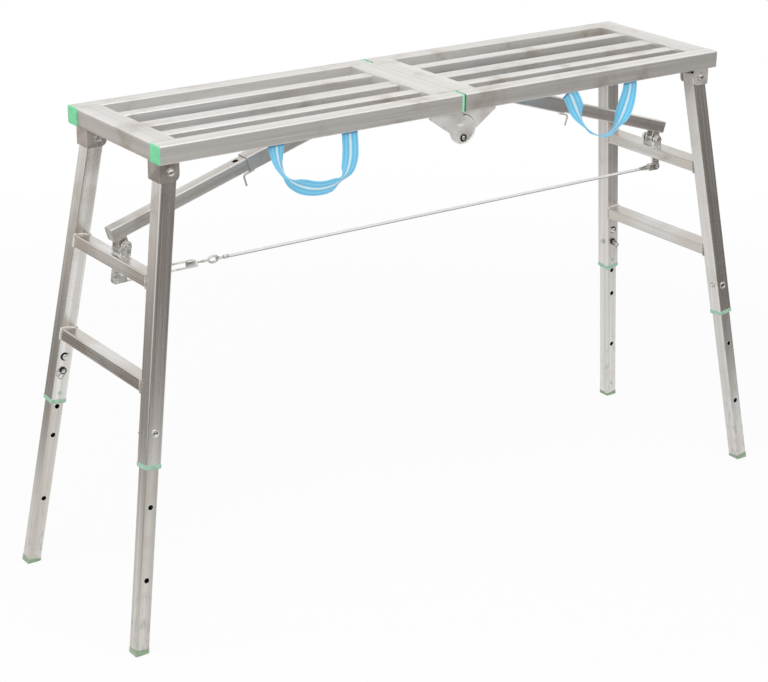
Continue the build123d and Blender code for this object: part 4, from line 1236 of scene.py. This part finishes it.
# Half width, corner and height below the tube's end.
COLLAR = [(LINER_HALF, LINER_CORNER, -LINER_LENGTH), (LINER_HALF, LINER_CORNER, MOUTH_FIT),
          (TUBE_FIT, CORNER, MOUTH_FIT), (TUBE_FIT, CORNER, -SKIRT_RISE),
          (SKIRT_HALF, CORNER, SKIRT_ROUND - SKIRT_RISE), (SKIRT_HALF, CORNER, 0.0042),
          (0.0188, CORNER, 0.0056), (0.0178, CORNER, 0.006), (0.0167, 0.0022, 0.0058),
          (BORE_HALF, BORE_CORNER, 0.0048), (BORE_HALF, BORE_CORNER, -LINER_LENGTH)]


def leg_collar(side, row):
    """The collar's squares along the leg, closed into a ring."""
    down, inward, outward = leg_axes(side, row)
    return looped(square_stack(COLLAR, leg_point(side, row, LEG_MOUTH), inward, outward, down))


print("a collar has", len(COLLAR), "squares")

# %% [markdown]
# ## Feet
# The feet cap the inner legs: a plug inside the tube, a skirt with a groove round it, and a sole that is
# cut level with the floor, so its rings are slid along the leg until they reach the wanted height. The
# collars and the feet are then made together, one leg frame after the other.

# %% Feet
FOOT_HALF = 0.0165
FOOT_HEIGHT = 0.012
FOOT_PLUG, FOOT_PLUG_CORNER, FOOT_PLUG_LENGTH = 0.0142, 0.0015, 0.02
FOOT_GROOVE = FOOT_HALF - 0.0007
# Half width, corner and height below the skirt's top.
FOOT_SKIRT = [(FOOT_PLUG, FOOT_PLUG_CORNER, -FOOT_PLUG_LENGTH), (FOOT_PLUG, FOOT_PLUG_CORNER, 0.0),
              (FOOT_HALF - 0.0004, CORNER, 0.0), (FOOT_HALF, CORNER, 0.0006), (FOOT_HALF, CORNER, 0.0034),
              (FOOT_GROOVE, CORNER, 0.0039), (FOOT_GROOVE, CORNER, 0.0046), (FOOT_HALF, CORNER, 0.0051)]
FOOT_SOLE = [(FOOT_HALF, CORNER, 0.0), (FOOT_HALF - 0.0008, CORNER, 0.0)]
SOLE_LEVELS = (0.0010, 0.0)


def leg_foot(side, row):
    """Skirt rings square to the leg, then sole rings slid along it: point + axis * (level - z) / axis z."""
    down, inward, outward = leg_axes(side, row)
    floor_point = leg_point(side, row, 0.0)
    skirt = square_stack(FOOT_SKIRT, floor_point - down * FOOT_HEIGHT, inward, outward, down)
    sole = square_stack(FOOT_SOLE, floor_point, inward, outward, down)
    slide = (np.array(SOLE_LEVELS)[:, None] - sole[..., 2]) / down[2]
    return shut(np.concatenate([skirt, sole + slide[..., None] * down]))


for side in SIDES:
    collars = make_piece(f"leg_collars_{side}", [leg_collar(side, row) for row in ROWS],
                         plastics["collar_green"], f"frame_{side}")
    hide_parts(f"{side}_collars")
    for row in ROWS:
        foot = make_piece(f"foot_{side}_{row}", [leg_foot(side, row)], plastics["foot_green"],
                          f"leg_{side}_{row}")
        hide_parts(f"{side}_{row}_foot")

# %% [markdown]
# ## Lock pins
# A spring pin on the inner face of each outer leg locks the inner leg. A small bright head sits in a dark
# ring, painted shade for the shadowed gap of the hole round the pin, and a wire bail hangs from it to pull
# it out. The bail is a round wire along a narrow rectangle with round corners.

# %% Lock pins
LOCK_HEIGHT = 0.486
PIN_RADIUS = 0.00595
PIN_LEAD = 0.001
PIN_HEAD = 0.0054
HEAD_HEIGHT = 0.004
# Radius, and height from the head's face.
HEAD_ROUND = [(0, 0), (0.0034, 0), (0.0048, 0.0004), (PIN_HEAD, 0.0012)]
# Radius, hole and thickness of the ring of painted shade, and its place behind the head's face.
PIN_SHADE_RING = (0.0082, PIN_HEAD - 0.0003, 0.0024)
SHADE_RING_BEHIND = 0.0016
BAIL_WIRE = 0.0011
BAIL_SIDES = 8
BAIL_LENGTH = 0.026
BAIL_WIDTH = 0.012
BAIL_CORNER = 0.0022
BAIL_CORNER_STEPS = 9
BAIL_LEAN = np.radians(42.0)
WASHER_SOFT = 0.3


def washer(radius, hole, thick, centre, axis):
    """Flat ring with rounded rims: its section goes round once and closes."""
    soft = thick * WASHER_SOFT
    section = [(hole, 0), (radius - soft, 0), (radius, soft), (radius, thick - soft),
               (radius - soft, thick), (hole, thick)]
    return looped(lathe(section, centre, axis))


def bail_ring(face, side, out):
    """Wire round a rounded rectangle that hangs from the pin and leans outwards."""
    loop = rounded_rectangle(BAIL_WIDTH / 2 - BAIL_WIRE, BAIL_LENGTH / 2 - BAIL_WIRE, BAIL_CORNER,
                             BAIL_CORNER_STEPS)
    hang = np.array([np.sin(BAIL_LEAN) * SIDES[side], 0.0, -np.cos(BAIL_LEAN)])
    cross = np.cross(hang, BACK)
    middle = face - out * BAIL_WIRE + hang * (BAIL_LENGTH - BAIL_WIDTH) / 2
    ring = middle + loop[:, :1] * cross + loop[:, 1:] * hang
    overlapped = np.concatenate([ring[-1:], ring, ring[:2]])
    return wire(overlapped, BAIL_WIRE, BAIL_SIDES)[1:-1]


def lock_pin(side, row):
    """Turned pin along the deck's width, its dark ring of painted shade and its bail."""
    near, tip = sorted((corner.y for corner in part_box(f"{side}_{row}_lock_pin")), key=abs)
    out = BACK * ROWS[row]
    face = leg_point(side, row, LOCK_HEIGHT) * [1, 0, 1] + BACK * near + out * 2 * BAIL_WIRE
    length = abs(tip - face[1])
    profile = [*HEAD_ROUND, (PIN_HEAD, HEAD_HEIGHT), (PIN_RADIUS, HEAD_HEIGHT),
               (PIN_RADIUS, length - PIN_LEAD), (PIN_RADIUS - PIN_LEAD, length), (0, length)]
    ring = washer(*PIN_SHADE_RING, face + out * SHADE_RING_BEHIND, out)
    return lathe(profile, face, out), ring, bail_ring(face, side, out)


for side, row in LEGS:
    bright, dark, bail = lock_pin(side, row)
    pin = make_piece(f"lock_pin_{side}_{row}", [bright], metals["bright_zinc"], f"pin_{side}_{row}")
    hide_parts(f"{side}_{row}_lock_pin")
    # The dark ring is painted shade round the pin's head.
    make_piece(f"lock_shade_ring_{side}_{row}", [dark], metals["dark_steel"], f"pin_{side}_{row}")
    make_piece(f"lock_bail_{side}_{row}", [bail], metals["spring_wire"], f"pin_{side}_{row}")

# %% [markdown]
# ## Bolts of the legs
# Each leg turns on a bolt with a domed head outside and a nut inside, on washers. Turned profiles and a
# chamfered hexagon make them.

# %% Bolts of the legs
BRACKET_HALF = 0.0245
BOLT_RADIUS = 0.0049
BOLT_PAST = 0.007
BOLT_CHAMFER = 0.0004
# Radius, hole and thickness of a washer, radius and height of a dome, width and height of a nut.
HEAD_WASHER = (0.0098, 0.0045, 0.0014)
NUT_WASHER = (0.0092, 0.0045, 0.0012)
LEG_DOME = (0.0080, 0.0048)
LEG_NUT = (0.0158, 0.0052)
DOME_RIM = 0.2
DOME_STEPS = 9


def domed_head(radius, height, centre, axis):
    """Low dome on a short straight rim: (radius cos a, height (rim + (1 - rim) sin a))."""
    a = np.linspace(0, np.pi / 2, DOME_STEPS)
    dome = np.stack([radius * np.cos(a), height * (DOME_RIM + (1 - DOME_RIM) * np.sin(a))], 1)
    return lathe([(0, 0), (radius, 0), *dome.tolist()], centre, axis)


def leg_bolt(side, row):
    """Head, bolt and nut on two washers, from outside to inside along the deck's width."""
    pivot = leg_pivot(side, row)
    out = BACK * ROWS[row]
    tip = -BRACKET_HALF - BOLT_PAST
    shaft = [(0, tip), (BOLT_RADIUS, tip + BOLT_CHAMFER), (BOLT_RADIUS, BRACKET_HALF), (0, BRACKET_HALF)]
    return [washer(*HEAD_WASHER, pivot + out * BRACKET_HALF, out),
            domed_head(*LEG_DOME, pivot + out * (BRACKET_HALF + HEAD_WASHER[2]), out),
            lathe(shaft, pivot, out),
            washer(*NUT_WASHER, pivot - out * BRACKET_HALF, -out),
            hexagon(*LEG_NUT, pivot - out * (BRACKET_HALF + NUT_WASHER[2]), -out)]


for side in SIDES:
    bolts = leg_bolt(side, "front") + leg_bolt(side, "rear")
    piece = make_piece(f"leg_bolts_{side}", bolts, metals["bright_zinc"], f"deck_{side}")
    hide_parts(f"{side}_pivot_bolts")

# %% [markdown]
# ## Bolts of the middle hinge
# The middle hinge has lower bolt heads, each in a dark ring on the outer plate, and a nut behind the
# inner plate.

# %% Bolts of the middle hinge
HINGE_FACE = 0.197
HINGE_INSIDE = 0.1882
HINGE_RING = (0.0088, 0.0052, 0.0022)
HINGE_DOME = (0.0055, 0.0036)
HINGE_NUT = (0.0158, 0.0062)
HINGE_BOLT = HINGE_FACE - HINGE_INSIDE + 0.006

hinge = joint_place("deck_fold")
bright, dark = [], []
for way in ROWS.values():
    out = BACK * way
    face = hinge + out * HINGE_FACE
    dark.append(washer(*HINGE_RING, face, out))
    bright += [domed_head(*HINGE_DOME, face, out),
               round_bar(BOLT_RADIUS, 0, HINGE_BOLT, face, -out),
               hexagon(*HINGE_NUT, hinge + out * HINGE_INSIDE, -out)]
hinge_bolts = make_piece("hinge_pins", bright, metals["bright_zinc"], "deck_left")
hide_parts("hinge_bolts")
make_piece("hinge_rings", dark, metals["dark_steel"], "deck_left")

# %% [markdown]
# ## Rim and stud of the hinge plates
# The outer hinge plates are pressed, so their round edges stand out as a rim. The rim is a wire in a very
# light finish, a painted highlight, and a thin dark wire just outside it on the inner plate is painted
# shadow for the narrow gap between the plates. Both are wires along an arc. A square stud with bevelled
# sides stops the fold, and it takes the same light finish, a painted highlight on its face.

# %% Rim and stud of the hinge plates
LOBE_RADIUS = 0.033
LOBE_RISE = 0.018
LOBE_STEPS = 61
# Radius of the wire, depth behind the plate's face, and first and last angle in degrees.
RIM_WIRE, RIM_DEPTH, RIM_SPAN = 0.0014, 0.0004, (-120, 84)
# The dark wire is painted shadow along the gap just outside the rim.
SHADOW_LINE_WIRE, SHADOW_LINE_DEPTH, SHADOW_LINE_SPAN = 0.0009, 0.0028, (8, 88)
STUD_RISE = 0.025
STUD_ASIDE = 0.009
# Half width, corner and height.
STUD = [(0.0066, 0.0012, 0.0), (0.0064, 0.0012, 0.0016), (0.0046, 0.001, 0.0034)]


def lobe_wire(way, arc_radius, radius, depth, span):
    """Wire along middle + arc radius * (cos t, 0, sin t), at a depth behind the plate's face."""
    t = np.radians(np.linspace(*span, LOBE_STEPS))
    middle = hinge + LIFT * LOBE_RISE + BACK * way * (HINGE_FACE - depth)
    return shut(wire(middle + arc_radius * np.stack([np.cos(t), 0 * t, np.sin(t)], 1), radius))


rims, shadow_lines, studs = [], [], []
for way in ROWS.values():
    rims.append(lobe_wire(way, LOBE_RADIUS - RIM_WIRE, RIM_WIRE, RIM_DEPTH, RIM_SPAN))
    shadow_lines.append(lobe_wire(way, LOBE_RADIUS + SHADOW_LINE_WIRE, SHADOW_LINE_WIRE, SHADOW_LINE_DEPTH, SHADOW_LINE_SPAN))
    stud = hinge + LIFT * STUD_RISE - ALONG * STUD_ASIDE + BACK * way * HINGE_FACE
    studs.append(shut(square_stack(STUD, stud, ALONG, LIFT, BACK * way)))
# The rims and studs take a light finish as a painted highlight; the dark wires are painted shadow.
make_piece("hinge_rims", rims + studs, metals["bright_trim"], "deck_left")
make_piece("hinge_gaps", shadow_lines, metals["dark_steel"], "deck_left")

# %% [markdown]
# ## Rims of the lock holes
# Holes in thin tube have a slight raised rim. Each inner leg has two holes in sight on both faces, and
# one for a snap on its inner face. A rim is a low rounded section turned about the hole's axis.

# %% Rims of the lock holes
INNER_HALF = 0.016
HOLE_PITCH = 0.160
HOLES_IN_SIGHT = (1, 2)
SNAP_HEIGHT = 0.397
# Inner radius, outer radius and height.
HOLE_RIM = (0.0059, 0.0071, 0.0004)
RIM_ROOT = 0.0006
RIM_STEPS = 7
RIM_SIDES = 28


def on_face(side, row, height, half, way):
    """The leg's axis at a height, slid along the deck's width until it lies on a face of the tube."""
    return leg_point(side, row, height) + BACK * way * half / abs(leg_axes(side, row)[2][1])


def hole_rim(inner, outer, height, point, axis):
    """Section (middle + half cos a, height sin a) with a flat root below, turned about the axis."""
    a = np.linspace(0, np.pi, RIM_STEPS)
    middle, half = (inner + outer) / 2, (outer - inner) / 2
    section = np.stack([middle + half * np.cos(a), height * np.sin(a)], 1)
    root = [(inner, -RIM_ROOT), (outer, -RIM_ROOT)]
    return looped(lathe(section.tolist() + root, point, axis, RIM_SIDES))


def lock_hole_rims(side, row):
    """Rims on both faces at each hole in sight, and one at the snap."""
    outward, way = leg_axes(side, row)[2], ROWS[row]
    spots = [(LOCK_HEIGHT - step * HOLE_PITCH, face) for step in HOLES_IN_SIGHT for face in (1, -1)]
    spots.append((SNAP_HEIGHT, -way))
    return [hole_rim(*HOLE_RIM, on_face(side, row, height, INNER_HALF, face), outward * face * way)
            for height, face in spots]


print("holes in sight on each inner leg:", len(HOLES_IN_SIGHT))

# %% [markdown]
# ## Studs and rivets of the legs
# Each outer leg has an eyelet on its outer face, opposite the lock pin, a small bolt on the face towards
# the middle, a stop bolt with a tab above the pin, and a green nib that holds the collar. A dark ring set
# off centre behind the stop bolt's head is a crescent of painted shade.

# %% Studs and rivets of the legs
STOP_HEIGHT = 0.520
NIB_HEIGHT = 0.431
EYELET = (0.0056, 0.0094, 0.0016)
EYELET_DOME, EYELET_SUNK = (0.0058, 0.0014), 0.001
DOT_DOME, DOT_RAISED = (0.0019, 0.0006), 0.0003
DOT_PLACES = (-0.0026, 0.0028)
EDGE_WASHER = (0.0085, 0.0035, 0.0018)
EDGE_DOME = (0.0056, 0.006)
STOP_DOME, STOP_SUNK = (0.0072, 0.0052), 0.0012
# Painted shade: a dark ring set off centre behind the stop bolt's head.
STOP_SHADE_RING, SHADE_RING_ASIDE = (0.0098, 0.003, 0.0012), 0.0012
# Half width, half height, corner and height off the face.
STOP_TAB = [(0.0034, 0.0058, 0.001, 0.0), (0.0034, 0.0058, 0.001, 0.0016)]
TAB_ASIDE = 0.0092
TAB_ABOVE = 0.002
NIB = (0.0018, 0.0044, 0.0014)


def leg_studs(side, row):
    """Bright studs, dark dots, a ring of painted shade and the nib, each set on its face of the outer leg.
    """
    down, inward, outward = leg_axes(side, row)
    way = ROWS[row]
    eyelet = on_face(side, row, LOCK_HEIGHT, LEG_HALF, way)
    edge = leg_point(side, row, LOCK_HEIGHT) + inward * LEG_HALF
    stop = on_face(side, row, STOP_HEIGHT, LEG_HALF, -way)
    nib = on_face(side, row, NIB_HEIGHT, LEG_HALF, -way)
    tab = stop + inward * TAB_ASIDE - down * TAB_ABOVE
    bright = [hole_rim(*EYELET, eyelet, outward),
              domed_head(*EYELET_DOME, eyelet - outward * EYELET_SUNK, outward),
              washer(*EDGE_WASHER, edge, inward),
              domed_head(*EDGE_DOME, edge + inward * EDGE_WASHER[2], inward),
              domed_head(*STOP_DOME, stop - outward * STOP_SUNK, -outward),
              shut(stack(STOP_TAB, tab, inward, down, -outward))]
    dark = [domed_head(*DOT_DOME, eyelet + outward * DOT_RAISED + inward * x, outward) for x in DOT_PLACES]
    dark.append(washer(*STOP_SHADE_RING, stop - inward * SHADE_RING_ASIDE, -outward))
    return bright, dark, [hole_rim(*NIB, nib, -outward)]


for side, row in LEGS:
    make_piece(f"hole_rims_{side}_{row}", lock_hole_rims(side, row), metals["plate_steel"],
               f"leg_{side}_{row}")
    bright, dark, nib = leg_studs(side, row)
    make_piece(f"leg_studs_{side}_{row}", bright, metals["bright_zinc"], f"frame_{side}")
    make_piece(f"stud_rings_{side}_{row}", dark, metals["dark_steel"], f"frame_{side}")
    make_piece(f"collar_nib_{side}_{row}", nib, plastics["collar_green"], f"frame_{side}")

# %% [markdown]
# ## End plates of the braces
# The lower mouth of each brace tube is closed by a plate, set a little back from the rim. The brace's
# slide axis gives the way along the tube, and its turning pin gives the place.

# %% End plates of the braces
BRACE_TAIL = 0.020
BRACE_OFFSET = 0.0325
PLATE_BACK = 0.0022
PLATE_HALF, PLATE_CORNER, PLATE_THICK = 0.0136, 0.0015, 0.002
END_PLATE = [(PLATE_HALF, PLATE_CORNER, 0.0), (PLATE_HALF, PLATE_CORNER, PLATE_THICK)]

for side in SIDES:
    along = unit(joints[f"brace_{side}_slide"]["axis"])
    along = along * np.sign(along[2])
    raised = np.array([-along[2] * np.sign(along[0]), 0.0, abs(along[0])])
    pin = joint_place(f"brace_{side}_turn")
    mouth = pin + raised * BRACE_OFFSET - along * (BRACE_TAIL - PLATE_BACK)
    plate = shut(square_stack(END_PLATE, mouth, BACK, raised, along))
    make_piece(f"brace_end_{side}", [plate], metals["plate_steel"], f"brace_{side}")

# %% [markdown]
# ## Weld beads of the rungs
# The rungs are welded to the legs, and a bead fills the corner all round. A bead is a quarter-round
# section carried along the joint line. It swells and dips as the welder steps along, so its radius is a
# wave of the length, and the wave leans because each step lies over the last.

# %% Weld beads of the rungs
BEAD_SIZE = 0.0034
BEAD_ROOT = 0.0004
BEAD_STEP = 0.0006
BEAD_ARC_STEPS = 6
RIPPLE = 0.0032
RIPPLE_SHARE, RIPPLE_LEAN = 0.13, 1.3
DRIFT_SHARE, DRIFT_WAVES, DRIFT_START = 0.1, 3, 1.0
RUNG_HALVES = (0.019, 0.014)
RUNG_CORNER_STEPS = 6


def weld_bead(line, out, along):
    """Closed bead: line + size * swell * (cos a * out + sin a * along), with a root behind the corner.

    Swell = 1 + ripple cos(waves * turn + lean sin 2a) + drift sin(drift waves * turn + start)."""
    length = running_length(line)
    total = length[-1] + np.linalg.norm(line[0] - line[-1])
    waves = max(1, round(total / RIPPLE))
    turn = 2 * np.pi * length[:, None, None] / total
    a = np.linspace(0, np.pi / 2, BEAD_ARC_STEPS)[None, :, None]
    swell = (1 + RIPPLE_SHARE * np.cos(waves * turn + RIPPLE_LEAN * np.sin(2 * a))
             + DRIFT_SHARE * np.sin(DRIFT_WAVES * turn + DRIFT_START))
    arc = line[:, None, :] + BEAD_SIZE * swell * (np.cos(a) * out[:, None, :] + np.sin(a) * along)
    root = line[:, None, :] - BEAD_ROOT * (out[:, None, :] + along)
    return looped(np.concatenate([arc, root], axis=1))


def spaced(line):
    """Points at equal steps along a line of corners, by linear interpolation over its length."""
    length = running_length(line)
    at = np.linspace(0, length[-1], int(length[-1] / BEAD_STEP))
    return np.stack([np.interp(at, length, line[:, i]) for i in range(3)], 1)


def rung_weld(side, row, rung):
    """Joint line: the rung's outline slid along the deck's width on to the leg's inner face."""
    centre = box_middle(f"{side}_{rung}")[0]
    _, inward, outward = leg_axes(side, row)
    frame_down = unit(np.cross(inward, BACK))
    outline = rounded_rectangle(*RUNG_HALVES, CORNER, RUNG_CORNER_STEPS)
    points = centre + outline[:, :1] * inward + outline[:, 1:] * frame_down
    face = leg_point(side, row, centre[2]) - outward * LEG_HALF
    points = points + (((face - points) @ outward) / outward[1])[:, None] * BACK
    points = spaced(looped(points))[:-1]
    away = points - points.mean(axis=0)
    away = unit(away - (away @ outward)[:, None] * outward)
    return weld_bead(points, away, -BACK * ROWS[row])


for side in SIDES:
    beads = [rung_weld(side, row, rung) for row in ROWS for rung in ("upper_rung", "lower_rung")]
    make_piece(f"rung_welds_{side}", beads, metals["weld_metal"], f"frame_{side}")
